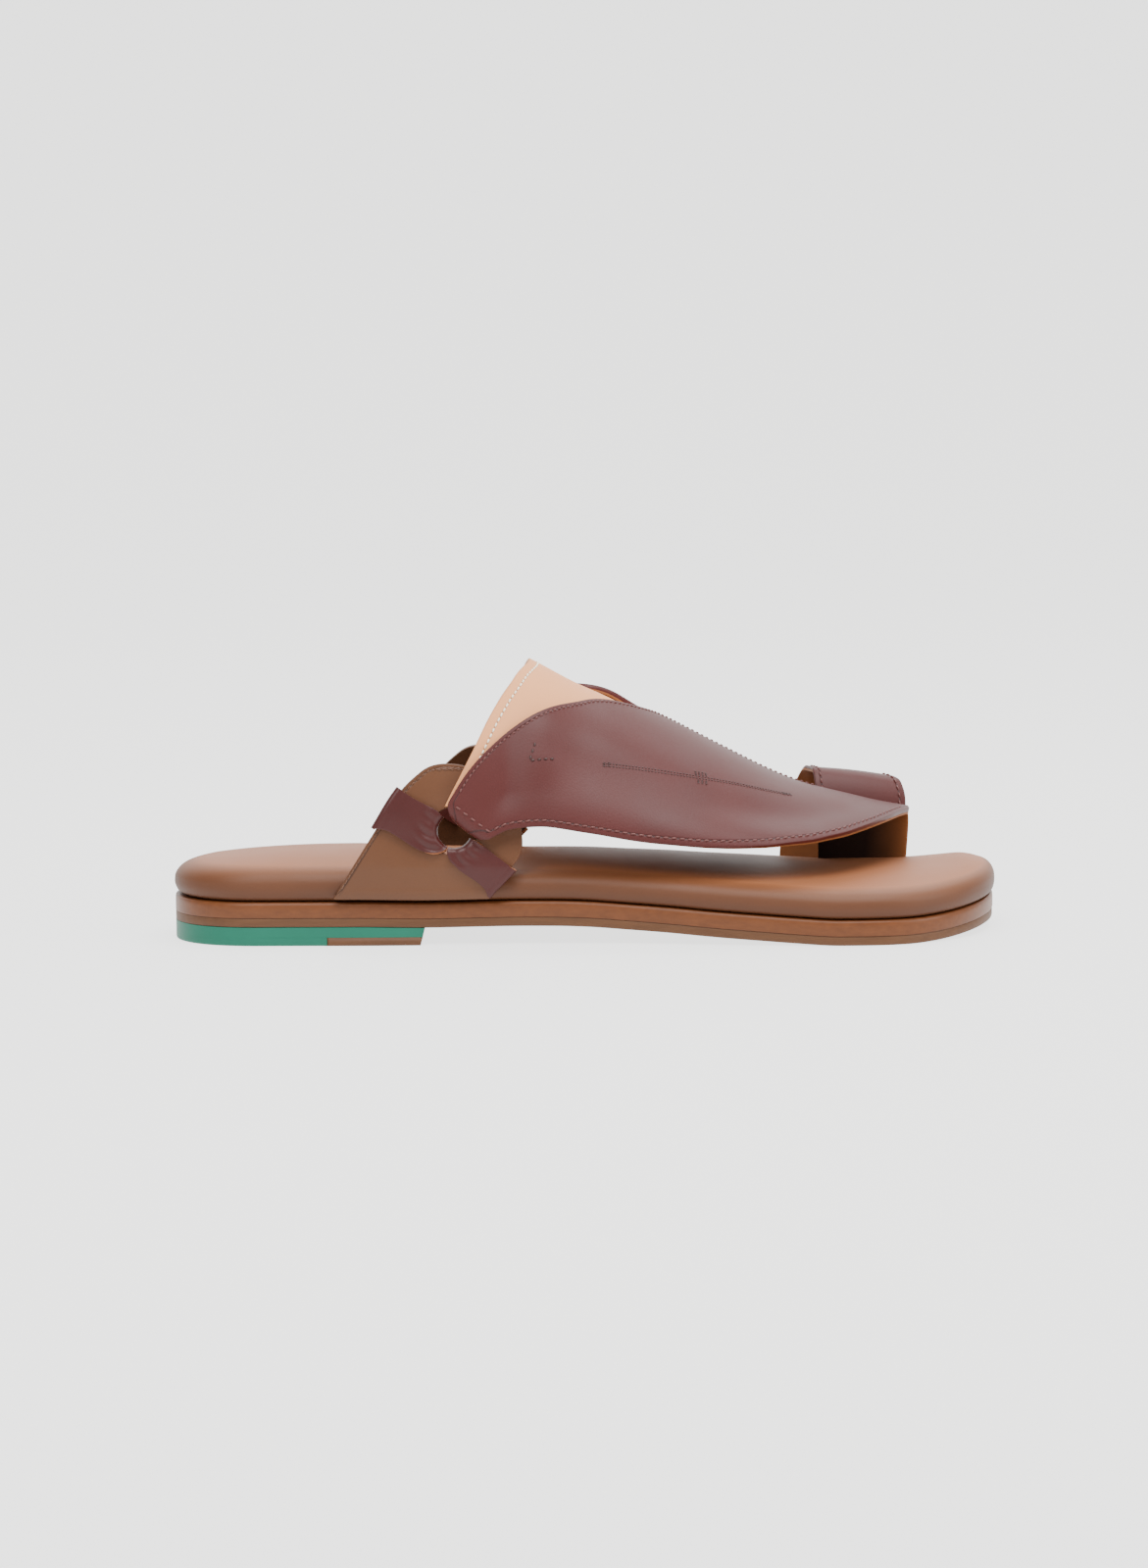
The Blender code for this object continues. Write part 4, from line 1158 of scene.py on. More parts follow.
class SANDAL_OT_sole(bpy.types.Operator):
    """Heel, top piece, outsole and welt"""

    bl_idname = "sandal.sole"
    bl_label = "Sole"

    def execute(self, context):
        heel, toe, breast = along_to_x(0), along_to_x(1), along_to_x(HEEL_BREAST)
        edge = edge_leather("outsole edge", tuple(colours().outsole))
        welt = edge_leather("welt leather", tuple(colours().welt), 0.42, 520.0, (0.5, 1.0, 1.0), 0.25)
        slant = lambda z: BREAST_SLANT * np.clip(1 - z / HEEL_HEIGHT, 0, 1)
        levels = stacked(
            OUTSOLE_INSET,
            (6, sole_low, 0),
            (0.5, sole_low, 0),
            (0.1, sole_low, 0.2),
            (0, sole_low, 0.7),
            (0, outsole_top, -0.35),
            (0.15, outsole_top, -0.08),
            (1.5, outsole_top, -0.06),
        )
        belongs(layer("outsole_leather", levels, 150, heel, toe, [edge]), "outsole", "outsole")
        levels = stacked(
            WELT_INSET,
            (1.5, outsole_top, 0),
            (0.15, outsole_top, 0.02),
            (0, outsole_top, 0.35),
            (0, outsole_top, 3.6),
            (0.08, welt_top, -1.1),
            (0.45, welt_top, -0.5),
            (1.2, welt_top, -0.25),
            (8, welt_top, -0.2),
        )
        belongs(layer("welt_layer", levels, 150, heel, toe, [welt]), "welt", "midsole")
        start = along_to_x(TOP_PIECE_START)
        teal = heel_finish()
        levels = stacked(
            OUTSOLE_INSET, (0.7, ground, 0), (0.15, ground, 0.2), (0, ground, 0.7), (0, top_piece_level, 0.1)
        )
        belongs(layer("heel_rear", levels, 70, heel, start, [teal]), "heel")
        levels = stacked(OUTSOLE_INSET, (0, top_piece_level, 0.05), (0, sole_low, -0.02))
        belongs(layer("heel_lift", levels, 90, heel, breast, [teal], front=slant), "heel", "heel_block")
        belongs(top_piece(start, breast, OUTSOLE_INSET, slant, edge), "outsole", "heel_top_piece")
        return {"FINISHED"}


def heel_finish():
    """Teal painted rubber: faint clouding and a fine tooth."""
    material, tree, shader = plain_material("teal heel", 0.5, 0.25)
    colour = tuple(colours().heel)
    place = node(tree, "ShaderNodeTexCoord").outputs["Object"]
    slow = noise(tree, place, 60.0, 4.0, 0.55)
    fine = noise(tree, place, 2200.0, 2.0, 0.5)
    base = mix_colour(tree, slow, shade(colour, 0.85), shade(colour, 1.15))
    tree.links.new(base, shader.inputs["Base Color"])
    bump(tree, shader, fine, 0.35, 0.05 * MM)
    return material


def top_piece(x_start, x_end, inset, slant, material):
    """The brown wearing piece: a slab between the heel's two sides, its front edge slanted."""
    share = np.linspace(0, 1, 40)
    rows = []
    for z, aside in ((0, 0.5 * MM), (0.25 * MM, 0.08 * MM), (0.6 * MM, 0), (TOP_PIECE_HEIGHT, 0)):
        x = x_start + (x_end - slant(z) - x_start) * share
        lateral = np.stack([x, side_of_outline(x, -1) + inset + aside, np.full(40, z)], axis=1)
        medial = np.stack([x, side_of_outline(x, 1) - inset - aside, np.full(40, z)], axis=1)
        rows.append(np.concatenate([lateral, medial[::-1]]))
    points = np.concatenate(rows)
    strip = np.stack([np.arange(39), np.arange(1, 40), 78 - np.arange(39), 79 - np.arange(39)], axis=1)
    quads = np.concatenate([grid_quads(4, 80, wrap=True), strip, strip[:, ::-1] + 240])
    obj = make_mesh("top_piece", points, quads, [material])
    outwards(obj)
    return obj


class SANDAL_OT_footbed(bpy.types.Operator):
    """Padded footbed, bare on top"""

    bl_idname = "sandal.footbed"
    bl_label = "Footbed"

    def execute(self, context):
        height = column(FOOTBED_SIDE, "height") / FOOTBED_THICKNESS
        inset = column(FOOTBED_SIDE, "inset")
        at = np.linspace(0, 1, 30)
        run = steps_along(np.stack([height * FOOTBED_THICKNESS, inset], axis=1))
        heights = smooth(run, height, at * run[-1])
        insets = smooth(run, inset, at * run[-1])
        levels = []
        for share, side in zip(heights, insets):
            levels.append((side, lambda x, h=share: welt_top(x) + h * footbed_thickness(x)))
        height = FOOTBED_THICKNESS - column(FOOTBED_SIDE, "height")[-1]
        rise = lambda x, share, ends: crown(x, share, ends, height)
        # The footbed's top takes a lighter colour as painted light.
        colour, painted_light = tuple(colours().footbed), tuple(colours().footbed_top)
        material = leather("footbed leather", colour, 0.55, grain=0.9, pebble=1100.0, painted_light=painted_light)
        heel, toe = along_to_x(0), along_to_x(1)
        obj = layer("footbed_leather", levels, 170, heel, toe, [material], 24, rise, scale=side_scale)
        belongs(obj, "footbed", "footbed")
        return {"FINISHED"}


# The upper.


def after_curl(edge, count, start):
    """Even steps along a wing's edge, from where it starts to curl into its ring."""
    placed = arch(along_to_x(edge[:, 0]), edge[:, 1])
    length = steps_along(placed)
    return resample(edge, length, np.linspace(start, length[-1], count))


def curl_rows(end, behind, normal, radius, tail):
    """A wing's end carried round a small radius and into its ring, drawn together as it goes."""
    back = unit(end - behind)
    middle = end.mean(axis=0)
    line = unit(end[-1] - end[0])
    rows = []
    angles = np.radians([15, 30, 45, 60, 75, 90])
    inward_rows = [end + back * radius * math.sin(a) - normal * radius * (1 - math.cos(a)) for a in angles]
    inward_rows += [inward_rows[-1] - normal * tail * s for s in (0.33, 0.66, 1.0)]
    for step, row in enumerate(inward_rows):
        share = 1 - 0.55 * soft_step((step + 1) / 7)
        aside = ((row - middle) @ line)[:, None] * line
        rows.append(row - aside * (1 - share))
    return rows[::-1]


def wing_sheet(name, side, off, thickness, materials, rim, round_off):
    """One wing as a sheet on the arch: straight lines in (x, turn) between its two edges, and for the lateral
    wing the toe post folded down from the crest."""
    across = 64
    low_table, top_table = (LATERAL_LOW, LATERAL_TOP) if side < 0 else (MEDIAL_LOW, MEDIAL_TOP)
    start = CURL_RADIUS + sizes().leather + sizes().lining
    low = even(low_table, 240)
    rear_low = after_curl(low[low[:, 0] <= 0.600], 90, start)
    rear_top = after_curl(even(top_table, 240), 90, start)
    if side < 0:
        spans = ((SEAM_START, POST_REAR, rear_low[-1, 0], 0.775, 70), (POST_REAR, TIP, 0.775, TIP, 56))
    else:
        spans = ((SEAM_START, MEDIAL_SEAM_END, rear_low[-1, 0], 0.777, 70),)
    tops, lows = [rear_top], [rear_low]
    for top_a, top_b, low_a, low_b, count in spans:
        top = np.linspace(top_a, top_b, count + 1)[1:]
        bottom = np.linspace(low_a, low_b, count + 1)[1:]
        seam = read(SEAM, "turn", top)
        if side > 0:
            seam = seam - 0.085 * soft_step((top - SEAM_START) / 0.03)
        tops.append(np.stack([top, seam], axis=1))
        lows.append(np.stack([bottom, read(low_table, "turn", bottom)], axis=1))
    top = np.concatenate(tops)
    low = np.concatenate(lows)
    mix = np.linspace(0, 1, across)[None, :, None]
    table = low[:, None] * (1 - mix) + top[:, None] * mix
    x, turn = along_to_x(table[..., 0]), table[..., 1]
    placed = wing_point(x, turn, side, off)
    base_normal = arch_normal(x[0], turn[0])
    tail = curl_rows(placed[0], placed[1], base_normal, CURL_RADIUS + off, CURL_TAIL)
    rows = np.concatenate([np.stack(tail), placed])
    points = rows.reshape(-1, 3)
    quads = grid_quads(len(rows), across, flip=side > 0)
    low_border, top_border = [rows[:, 0]], [rows[:, -1]]
    if side < 0:
        count = 57
        first = len(rows) - count
        down = 34
        post_mix = np.linspace(0, 1, down)[None, :, None]
        bottom = np.stack([np.linspace(POST_REAR, POST_FRONT, count), np.full(count, POST_TURN)], axis=1)
        post = top[-count:][:, None] * (1 - post_mix) + bottom[:, None] * post_mix
        near_front = np.linspace(0, 1, count)[:, None] ** 3
        post[..., 0] += POST_SWELL * near_front * np.sin(math.pi * post_mix[..., 0] ** 0.7)
        post_points = wing_point(along_to_x(post[..., 0]), post[..., 1], side, off)
        quads_post = grid_quads(count, down) + len(points)
        points = np.concatenate([points, post_points.reshape(-1, 3)])
        quads = np.concatenate([quads, quads_post])
        low_border.append(post_points[-1])
        top_border = [rows[:first, -1]]
    finer = sizes().margin / sizes().top_margin
    low_edge = edge_distance(points, np.concatenate(low_border))
    top_edge = edge_distance(points, np.concatenate(top_border))
    edge = np.minimum(low_edge, top_edge * finer)
    obj = make_mesh(name, points, quads, materials, {"edge": edge})
    merge(obj, 0.01 * MM)
    return thicken(obj, thickness, 1, rim=rim, round_off=round_off)


class SANDAL_OT_wings(bpy.types.Operator):
    """Burgundy wings with their tan lining and painted edges"""

    bl_idname = "sandal.wings"
    bl_label = "Wings"

    def execute(self, context):
        size = sizes()
        outer, lining, paint = wing_leather(), dark_lining(), burgundy_edge()
        for word, side in (("lateral", -1), ("medial", 1)):
            name = "wing_leather_" + word
            skin = wing_sheet(name, side, size.lining, size.leather, [outer, paint], 1, 0.35 * MM)
            name = "wing_lining_" + word
            inside = wing_sheet(name, side, 0.0, size.lining * 0.98, [lining], 0, 0.15 * MM)
            belongs(skin, "wing", "upper")
            belongs(inside, "wing")
        return {"FINISHED"}


class SANDAL_OT_wing_stitching(bpy.types.Operator):
    """Stitching round the wings, the straight seam and its bar tacks"""

    bl_idname = "sandal.wing_stitching"
    bl_label = "Wing stitching"

    def execute(self, context):
        size = sizes()
        thread = thread_material("burgundy thread", tuple(colours().thread))
        # The dark thread is painted shade: darker than the thread itself, for the seam's groove and the
        # stitch holes.
        dark = thread_material("dark thread", shade(colours().thread, 0.35))
        seam_x = np.linspace(0.619, MEDIAL_SEAM_END, 160)
        low = even(LATERAL_LOW, 400)
        top = even(LATERAL_TOP, 300)
        medial_low = even(MEDIAL_LOW, 300)
        medial_top = even(MEDIAL_TOP, 300)
        seam = np.stack([seam_x, read(SEAM, "turn", seam_x)], axis=1)
        low = low[(low[:, 0] > 0.3935) & (low[:, 0] < 0.893)]
        top = np.concatenate([top[top[:, 0] > 0.3465], seam])
        medial_low = medial_low[medial_low[:, 0] > 0.4325]
        medial_top = medial_top[(medial_top[:, 0] > 0.3855) & (medial_top[:, 0] < 0.600)]
        lateral_end = np.linspace((0.3455, 0.163), (0.3890, 0.092), 60)
        medial_end = np.linspace((0.3845, 1.837), (0.4280, 1.908), 60)
        straight = even(WING_SEAM, 200)
        made = []
        for word, rows, side, inward, margin, pitch, width in (
            ("stitch_lateral_low", low, -1, 1, size.margin, size.pitch, size.thread),
            ("stitch_lateral_top", top, -1, -1, size.top_margin, size.top_pitch, size.thread),
            ("stitch_medial_low", medial_low, 1, -1, size.margin, size.pitch, size.thread),
            ("stitch_medial_top", medial_top, 1, 1, size.top_margin, size.top_pitch, size.thread),
            ("stitch_end_lateral", lateral_end, -1, 1, 0.0, size.pitch, size.thread),
            ("stitch_end_medial", medial_end, 1, 1, 0.0, size.pitch, size.thread),
            ("seam_thread", straight, -1, 1, SEAM_GAP / 2, SEAM_PITCH, SEAM_THREAD),
            ("seam_thread_two", straight, -1, -1, SEAM_GAP / 2, SEAM_PITCH, SEAM_THREAD),
        ):
            # The seam and the tacks take the dark thread, painted shade of their groove and holes.
            material = dark if rows is straight else thread
            made.append(wing_stitches(word, rows, side, inward, material, margin, pitch, width))
        for word, *ends, count in TACKS[1:]:
            rows = np.linspace(ends[:2], ends[2:], 30)
            single = count == 1
            for number in range(count):
                away = (number - (count - 1) / 2) * 2 * SEAM_GAP / 3
                pitch, width = (2.0 * MM, 0.7 * MM) if single else (SEAM_PITCH, SEAM_THREAD)
                made.append(wing_stitches(f"tack_{word}_{number}", rows, -1, 1, dark, away, pitch, width))
        for obj in made:
            belongs(obj, "wing")
        return {"FINISHED"}


def panel_point(x, turn):
    """The panel lies a little inside the arch: arch(x, turn) - 2 * GAP * normal(x, turn)."""
    return arch(x, turn) - arch_normal(x, turn) * 2 * GAP


class SANDAL_OT_panel(bpy.types.Operator):
    """Peach instep panel with its cream stitching"""

    bl_idname = "sandal.panel"
    bl_label = "Instep panel"

    def execute(self, context):
        size = sizes()
        stations, across = 90, 150
        rear = even(PANEL_REAR, across)
        at, low, high = PANEL_FRONT
        front = np.stack([np.full(across, at), np.linspace(low, high, across)], axis=1)
        mix = np.linspace(0, 1, stations)[:, None, None]
        rows = rear[None] * (1 - mix) + front[None] * mix
        x, turn = along_to_x(rows[..., 0]), rows[..., 1]
        points = panel_point(x, turn)
        edge = edge_distance(points, points[0])
        colour = tuple(colours().panel)
        peach = leather("peach leather", colour, 0.55, 0.7, margin=PANEL_MARGIN, shine=0.2, spread=0.05)
        quads = grid_quads(stations, across)
        obj = make_mesh("panel_leather", points, quads, [peach, tan_lining()], {"edge": edge})
        thicken(obj, size.panel, -1, inner=1, round_off=0.4 * MM, segments=3)
        belongs(obj, "panel", "instep_panel")
        x, turn = x[0], turn[0]
        aside = unit(np.cross(arch_normal(x, turn), unit(np.gradient(panel_point(x, turn), axis=0))))
        forwards = np.sign((aside @ [1, 0, 0]).mean())
        x, turn = slide(panel_point, x, turn, aside * PANEL_MARGIN * MM * forwards)
        cream = thread_material("cream thread", tuple(colours().light_thread))
        keep = slice(6, -6)
        path = panel_point(x, turn)[keep]
        normal = arch_normal(x, turn)[keep]
        belongs(stitches("panel_stitching", path, normal, cream, 2.1 * MM, 0.66 * MM, 0.1), "panel")
        return {"FINISHED"}


class SANDAL_OT_tabs(bpy.types.Operator):
    """Side tabs that hold the rings"""

    bl_idname = "sandal.tabs"
    bl_label = "Side tabs"

    def execute(self, context):
        size = sizes()
        outer = leather("tab leather", tuple(colours().tab), 0.46, 0.8, 1200.0, margin=TAB_MARGIN)
        inner = leather("tab lining", shade(colours().tab, 0.55), 0.6, pebble=900.0, shine=0.15)
        thread = thread_material("brown thread", shade(colours().tab, 1.1))
        for word, side, shift in (("lateral", -1, 0.0), ("medial", 1, MEDIAL_SHIFT)):
            outline = tab_outline(shift)
            centre = ring_centre(shift)
            corners = sorted(
                math.atan2(c[1], c[0]) % (2 * math.pi) for c in (outline[0] - centre, outline[239] - centre)
            )
            angles = np.concatenate(
                [
                    np.linspace(corners[0], corners[1], 61)[:-1],
                    np.linspace(corners[1], corners[0] + 2 * math.pi, 141)[:-1],
                ]
            )
            radius = reach(outline, centre, angles)
            share = np.linspace(0, 1, 34)[:, None]
            r = RING_RADIUS + (radius - RING_RADIUS) * share
            x = centre[0] + r * np.cos(angles)
            z = centre[1] + r * np.sin(angles)
            points = tab_point(x, z, side)
            normal = tab_normal(x, z, side)
            swell = 0.35 * MM * np.exp(-(((r - RING_RADIUS) / (4 * MM)) ** 2))
            points = points + normal * swell[..., None]
            keep = (angles > corners[1]) & (z[-1] > welt_top(x[-1]) + 2 * MM) & (np.cos(angles) < 0.2)
            border = points[-1][keep]
            edge = edge_distance(points, border)
            quads = grid_quads(34, 200, flip=side > 0, wrap=True)
            obj = make_mesh("tab_leather_" + word, points, quads, [outer, inner], {"edge": edge})
            thicken(obj, size.tab, 0, inner=1, round_off=0.5 * MM, segments=3)
            belongs(obj, "tab", "side_tab_" + word)
            rear = (angles > math.radians(100)) & (angles < corners[0] + 2 * math.pi - 0.03)
            rear &= (angles > corners[1]) & (np.cos(angles) < 0.2)
            inside = r[-1] - TAB_MARGIN * MM
            x = (centre[0] + inside * np.cos(angles))[rear]
            z = (centre[1] + inside * np.sin(angles))[rear]
            order = np.argsort(z)
            turned = tab_normal(x, z, side)
            path = (tab_point(x, z, side) + turned * size.tab / 2)[order]
            sewn = stitches("tab_stitching_" + word, path, turned[order], thread, 2.1 * MM, 0.42 * MM, 0.1)
            belongs(sewn, "tab")
        return {"FINISHED"}


class SANDAL_OT_bands(bpy.types.Operator):
    """Bands looped through the rings and over the tabs' rims"""

    bl_idname = "sandal.bands"
    bl_label = "Ring bands"

    def execute(self, context):
        outer = leather("band leather", shade(colours().wing, 0.75), 0.40, grain=0.8, shine=0.3)
        raw = edge_leather("raw edge", tuple(colours().raw), 0.6, 900.0, (1, 1, 1), 0.2)
        for word, side, shift in (("lateral", -1, 0.0), ("medial", 1, MEDIAL_SHIFT)):
            for row in BANDS[1:]:
                points = band_points(side, shift, row)
                rows, across = points.shape[:2]
                quads = grid_quads(rows, across, flip=side < 0)
                obj = make_mesh(f"band_{row[0]}_{word}", points, quads, [outer, raw])
                thicken(obj, sizes().band, 0, rim=1, round_off=0.22 * MM)
                belongs(obj, "band", f"ring_band_{row[0]}_{word}")
        return {"FINISHED"}


def band_points(side, shift, row):
    """A strap round the tab's section along rays from the hole, gathered and creased at the hole: radius
    RING_RADIUS + (rim - RING_RADIUS) * share + beyond * clear, and off times the face away from the tab."""
    across = 40
    outline = tab_outline(shift)
    centre = ring_centre(shift)
    width = np.linspace(0, 1, across)
    at_hole = np.radians(row[1] + (row[2] - row[1]) * width)
    at_rim = np.radians(row[3] + (row[4] - row[3]) * width)
    rim = reach(outline, centre, at_rim)
    if not row[5]:
        rim = straight_end(at_rim, rim[0] - BAND_END_CUT, rim[-1])
    clear = GAP + sizes().band / 2
    face = sizes().tab / 2 + clear
    through = [(0.1, -0.2, -1), (0, -1.2, -0.9), (0, -1.9, 0), (0, -1.2, 0.9), (0.1, -0.2, 1)]
    outer = [(0.25, 0, 1), (0.45, 0, 1), (0.7, 0, 1), (0.93, 0, 1)]
    over = [(1, 0.95, 0.95), (1, 1.3, 0.1)]
    under = [(1, 0.95, -0.95), (0.93, 0, -1), (0.6, 0, -1), (0.3, 0, -1)]
    path = np.array(through + outer + over + (under if row[5] else []))
    scale = np.array([18 * MM, clear, face])
    length = steps_along(path * scale)
    at = np.linspace(0, length[-1], 110)
    path = np.stack([catmull(length, path[:, k], at) for k in range(3)], axis=1)
    share, beyond, off = (path[:, k][:, None] for k in range(3))
    pull = (1 - np.clip(share, 0, 1)) ** 2.4
    angle = at_hole * pull + at_rim * (1 - pull)
    r = RING_RADIUS + (rim - RING_RADIUS) * share + beyond * clear
    x = centre[0] + r * np.cos(angle)
    z = centre[1] + r * np.sin(angle)
    waves = np.sin(width * 19 + share * 5) * np.exp(-((share - 0.12) ** 2) / 0.02)
    crease = waves * 0.28 * MM * np.sign(off)
    crown = 0.25 * MM * np.sin(math.pi * width) * np.clip(off, 0, 1)
    lift_off = (face * off + crease + crown)[..., None]
    return tab_point(x, z, side) + tab_normal(x, z, side) * lift_off


def straight_end(angles, first, last):
    """Radius at each angle of the straight line between the ends at the first and the last angle."""
    a = first * np.array([math.cos(angles[0]), math.sin(angles[0])])
    b = last * np.array([math.cos(angles[-1]), math.sin(angles[-1])])
    aside = np.array([b[1] - a[1], a[0] - b[0]])
    return (a @ aside) / (np.cos(angles) * aside[0] + np.sin(angles) * aside[1])


def catmull(xs, ys, at):
    """Cubic through the points with central slopes, for paths that swing a little past their points."""
    tangent = np.gradient(ys, xs)
    run = np.diff(xs)
    i = np.clip(np.searchsorted(xs, at, side="right") - 1, 0, len(run) - 1)
    t = (at - xs[i]) / run[i]
    rise = ys[i] * (2 * t**3 - 3 * t**2 + 1) + ys[i + 1] * (3 * t**2 - 2 * t**3)
    return rise + run[i] * (tangent[i] * (t**3 - 2 * t**2 + t) + tangent[i + 1] * (t**3 - t**2))


def loop_point(along, across, height):
    """Middle surface of the toe loop, from the post over the big toe to the footbed's medial side."""
    x = along_to_x(along)
    z = footbed_top(x) + height * LOOP_HEIGHT
    medial = read(ARCH, "medial", along) * BALL_WIDTH
    post = medial + 2.3 * MM + 2 * GAP + sizes().loop / 2
    inset = read(FOOTBED_SIDE, "inset", np.clip(z - welt_top(x), 0, SIDE_STRAIGHT))
    outside = side_of_outline(x, 1) - inset + 1.2 * GAP + sizes().loop / 2
    return np.stack([x, post + (outside - post) * across, z], axis=-1)


class SANDAL_OT_toe_loop(bpy.types.Operator):
    """Toe loop with its lining and stitching"""

    bl_idname = "sandal.toe_loop"
    bl_label = "Toe loop"

    def execute(self, context):
        size = sizes()
        rear, front = even(LOOP_REAR, 130), even(LOOP_FRONT, 130)
        mix = np.linspace(0, 1, 60)[:, None, None]
        rows = rear[None] * (1 - mix) + front[None] * mix
        points = loop_point(rows[..., 0], rows[..., 1], rows[..., 2])
        ahead = np.gradient(points, axis=0)
        over = np.gradient(points, axis=1)
        normal = unit(np.cross(ahead, over))
        crown = 0.5 * MM * np.sin(math.pi * mix[..., 0])[..., None]
        points = points + normal * crown
        border = np.concatenate([points[0], points[-1]])
        edge = edge_distance(points, border)
        outer, lining, paint = wing_leather(), tan_lining(), burgundy_edge()
        quads = grid_quads(60, 130)
        values = {"edge": edge}
        skin = make_mesh("loop_leather", points + normal * -0.15 * MM, quads, [outer, paint], values)
        thicken(skin, size.loop / 2 + 0.15 * MM, 1, rim=1, round_off=0.3 * MM)
        belongs(skin, "loop", "toe_loop")
        inside = make_mesh("loop_lining", points + normal * -0.9 * MM, quads, [lining], values)
        thicken(inside, 0.74 * MM, 1, round_off=0.12 * MM)
        belongs(inside, "loop")
        thread = thread_material("burgundy thread", tuple(colours().thread))
        for word, side in (("rear", 4), ("front", -5)):
            path = (points + normal * 0.9 * MM)[side][14:-4]
            up = normal[side][14:-4]
            belongs(stitches("stitch_loop_" + word, path, up, thread, size.pitch, size.thread, 0.12), "loop")
        return {"FINISHED"}


# The studio, in metres and watts.
FLOOR_GLOW = 2.1
WORLD_LIGHT = 0.70
FLOOR_HALF_WIDTH = 3.0
FLOOR_FRONT = -2.2
FLOOR_BACK = 1.4
SWEEP_RADIUS = 1.2
BACKDROP_HEIGHT = 3.0
LAMP_AIM = (0.0, 0.0, 0.05)
LAMPS = (
    ("name", "place", "wide", "tall", "power"),
    ("Overhead", (0.10, -0.60, 1.25), 1.1, 0.6, 28.0),
    ("Behind", (0.25, 0.50, 1.25), 1.0, 0.6, 14.0),
    ("Right", (1.20, -0.45, 0.70), 0.6, 0.8, 13.0),
    ("Left", (-0.60, -1.05, 0.85), 0.4, 0.3, 8.0),
)
CAMERA_PLACE = (-0.0036, -1.5, 0.197)
CAMERA_AIM = (-0.0036, 0.0, 0.050)
CAMERA_ROLL = math.radians(-0.7)
SENSOR_WIDTH = 36
PHOTO_HEIGHT_PIXELS = 1600
FOCAL_PIXELS = 4515


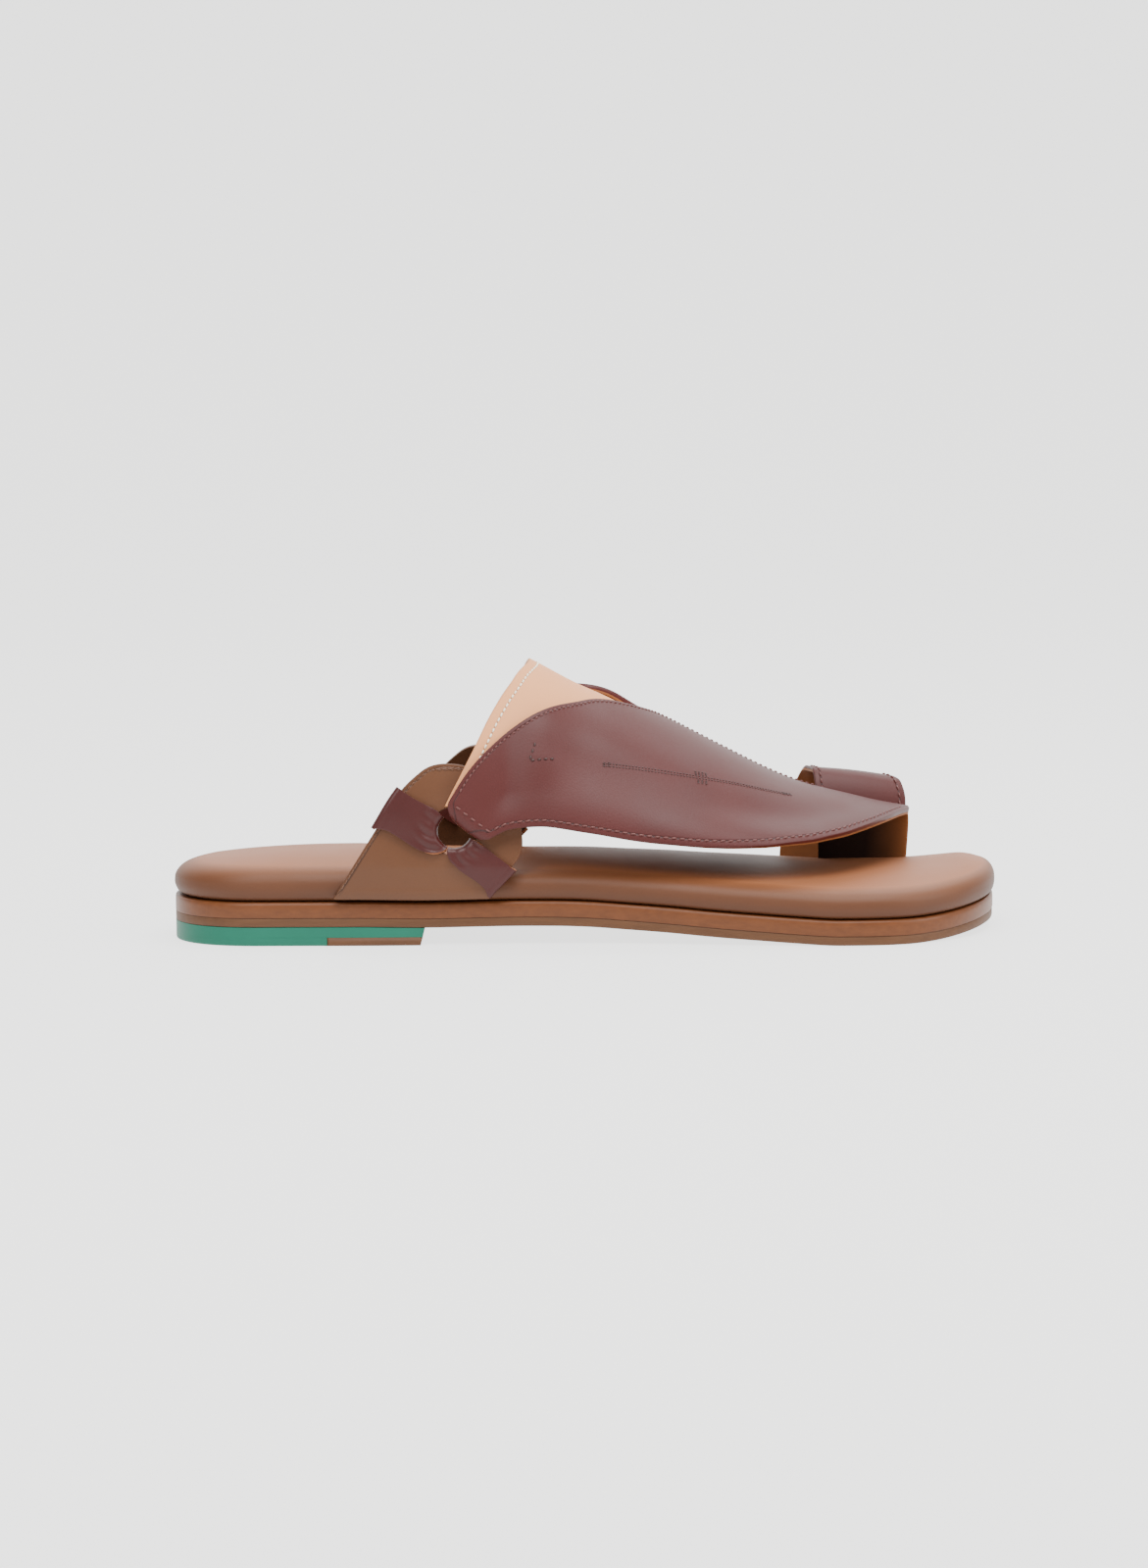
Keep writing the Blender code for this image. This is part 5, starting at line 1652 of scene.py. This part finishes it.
class SANDAL_OT_stage(bpy.types.Operator):
    """Pale floor sweeping up behind the shoe, soft light and the camera"""

    bl_idname = "sandal.stage"
    bl_label = "Studio"

    def execute(self, context):
        scene = context.scene
        along = np.linspace(-FLOOR_HALF_WIDTH, FLOOR_HALF_WIDTH, 49)
        bend = np.linspace(0, math.pi / 2, 20)[1:]
        up = np.linspace(0, BACKDROP_HEIGHT, 12)[1:]
        level = np.linspace(FLOOR_FRONT, FLOOR_BACK, 50)
        sweep = FLOOR_BACK + SWEEP_RADIUS * np.sin(bend)
        y = np.concatenate([level, sweep, np.full(len(up), FLOOR_BACK + SWEEP_RADIUS)])
        z = np.concatenate([np.zeros(50), SWEEP_RADIUS * (1 - np.cos(bend)), SWEEP_RADIUS + up])
        grid = np.stack(np.broadcast_arrays(along[:, None], y[None], z[None]), axis=-1)
        material, tree, shader = plain_material("pale floor", 0.85, 0.2)
        place = node(tree, "ShaderNodeTexCoord").outputs["Object"]
        soft = noise(tree, place, 2.0, 2.0, 0.4)
        colour = tuple(colours().floor)
        base = mix_colour(tree, soft, shade(colour, 0.985), shade(colour, 1.015))
        tree.links.new(base, shader.inputs["Base Color"])
        shader.inputs["Emission Color"].default_value = (1.0, 1.0, 0.99, 1)
        shader.inputs["Emission Strength"].default_value = FLOOR_GLOW
        floor = make_mesh("floor", grid, grid_quads(49, len(y)), [material])
        world = scene.world or bpy.data.worlds.new("Studio")
        scene.world = world
        world.use_nodes = True
        background = world.node_tree.nodes["Background"]
        background.inputs["Color"].default_value = (1.0, 1.0, 0.99, 1)
        background.inputs["Strength"].default_value = WORLD_LIGHT
        for name, place, wide, tall, power in LAMPS[1:]:
            lamp = bpy.data.lights.new(name, "AREA")
            lamp.shape = "RECTANGLE"
            lamp.size = wide
            lamp.size_y = tall
            lamp.energy = power
            obj = bpy.data.objects.new(name, lamp)
            scene.collection.objects.link(obj)
            point_at(obj, place, LAMP_AIM)
        lens = bpy.data.cameras.new("Camera")
        lens.sensor_fit = "AUTO"
        lens.sensor_width = SENSOR_WIDTH
        lens.lens = FOCAL_PIXELS / PHOTO_HEIGHT_PIXELS * SENSOR_WIDTH
        lens.clip_start = 0.05
        lens.clip_end = 30
        camera = bpy.data.objects.new("Camera", lens)
        scene.collection.objects.link(camera)
        point_at(camera, CAMERA_PLACE, CAMERA_AIM, roll=CAMERA_ROLL)
        scene.camera = camera
        return {"FINISHED"}


def point_at(obj, place, aim, roll=0.0):
    """Places an object so that it looks at a point, turned about its own view by roll."""
    look = Vector(aim) - Vector(place)
    turn = look.to_track_quat("-Z", "Y").to_matrix().to_4x4()
    obj.matrix_world = Matrix.Translation(Vector(place)) @ turn @ Matrix.Rotation(roll, 4, "Z")


OPERATORS = (
    SANDAL_OT_stage,
    SANDAL_OT_sole,
    SANDAL_OT_footbed,
    SANDAL_OT_wings,
    SANDAL_OT_wing_stitching,
    SANDAL_OT_panel,
    SANDAL_OT_tabs,
    SANDAL_OT_bands,
    SANDAL_OT_toe_loop,
)


class SANDAL_PT_panel(bpy.types.Panel):
    """The sandal's pieces and sizes in the sidebar"""

    bl_label = "Arabic sandal"
    bl_idname = "SANDAL_PT_panel"
    bl_space_type = "VIEW_3D"
    bl_region_type = "UI"
    bl_category = "Sandal"

    def draw(self, context):
        for word in SandalSizes.__annotations__:
            self.layout.prop(context.scene.sandal_sizes, word)
        for word in SandalColours.__annotations__:
            self.layout.prop(context.scene.sandal_colours, word)
        for operator in OPERATORS:
            self.layout.operator(operator.bl_idname)


CLASSES = (SandalSizes, SandalColours) + OPERATORS + (SANDAL_PT_panel,)


def register():
    for kind in CLASSES:
        bpy.utils.register_class(kind)
    bpy.types.Scene.sandal_sizes = bpy.props.PointerProperty(type=SandalSizes)
    bpy.types.Scene.sandal_colours = bpy.props.PointerProperty(type=SandalColours)


def unregister():
    del bpy.types.Scene.sandal_colours
    del bpy.types.Scene.sandal_sizes
    for kind in reversed(CLASSES):
        bpy.utils.unregister_class(kind)


def main():
    register()
    for operator in OPERATORS:
        group, name = operator.bl_idname.split(".")
        getattr(getattr(bpy.ops, group), name)()


if __name__ == "__main__":
    main()
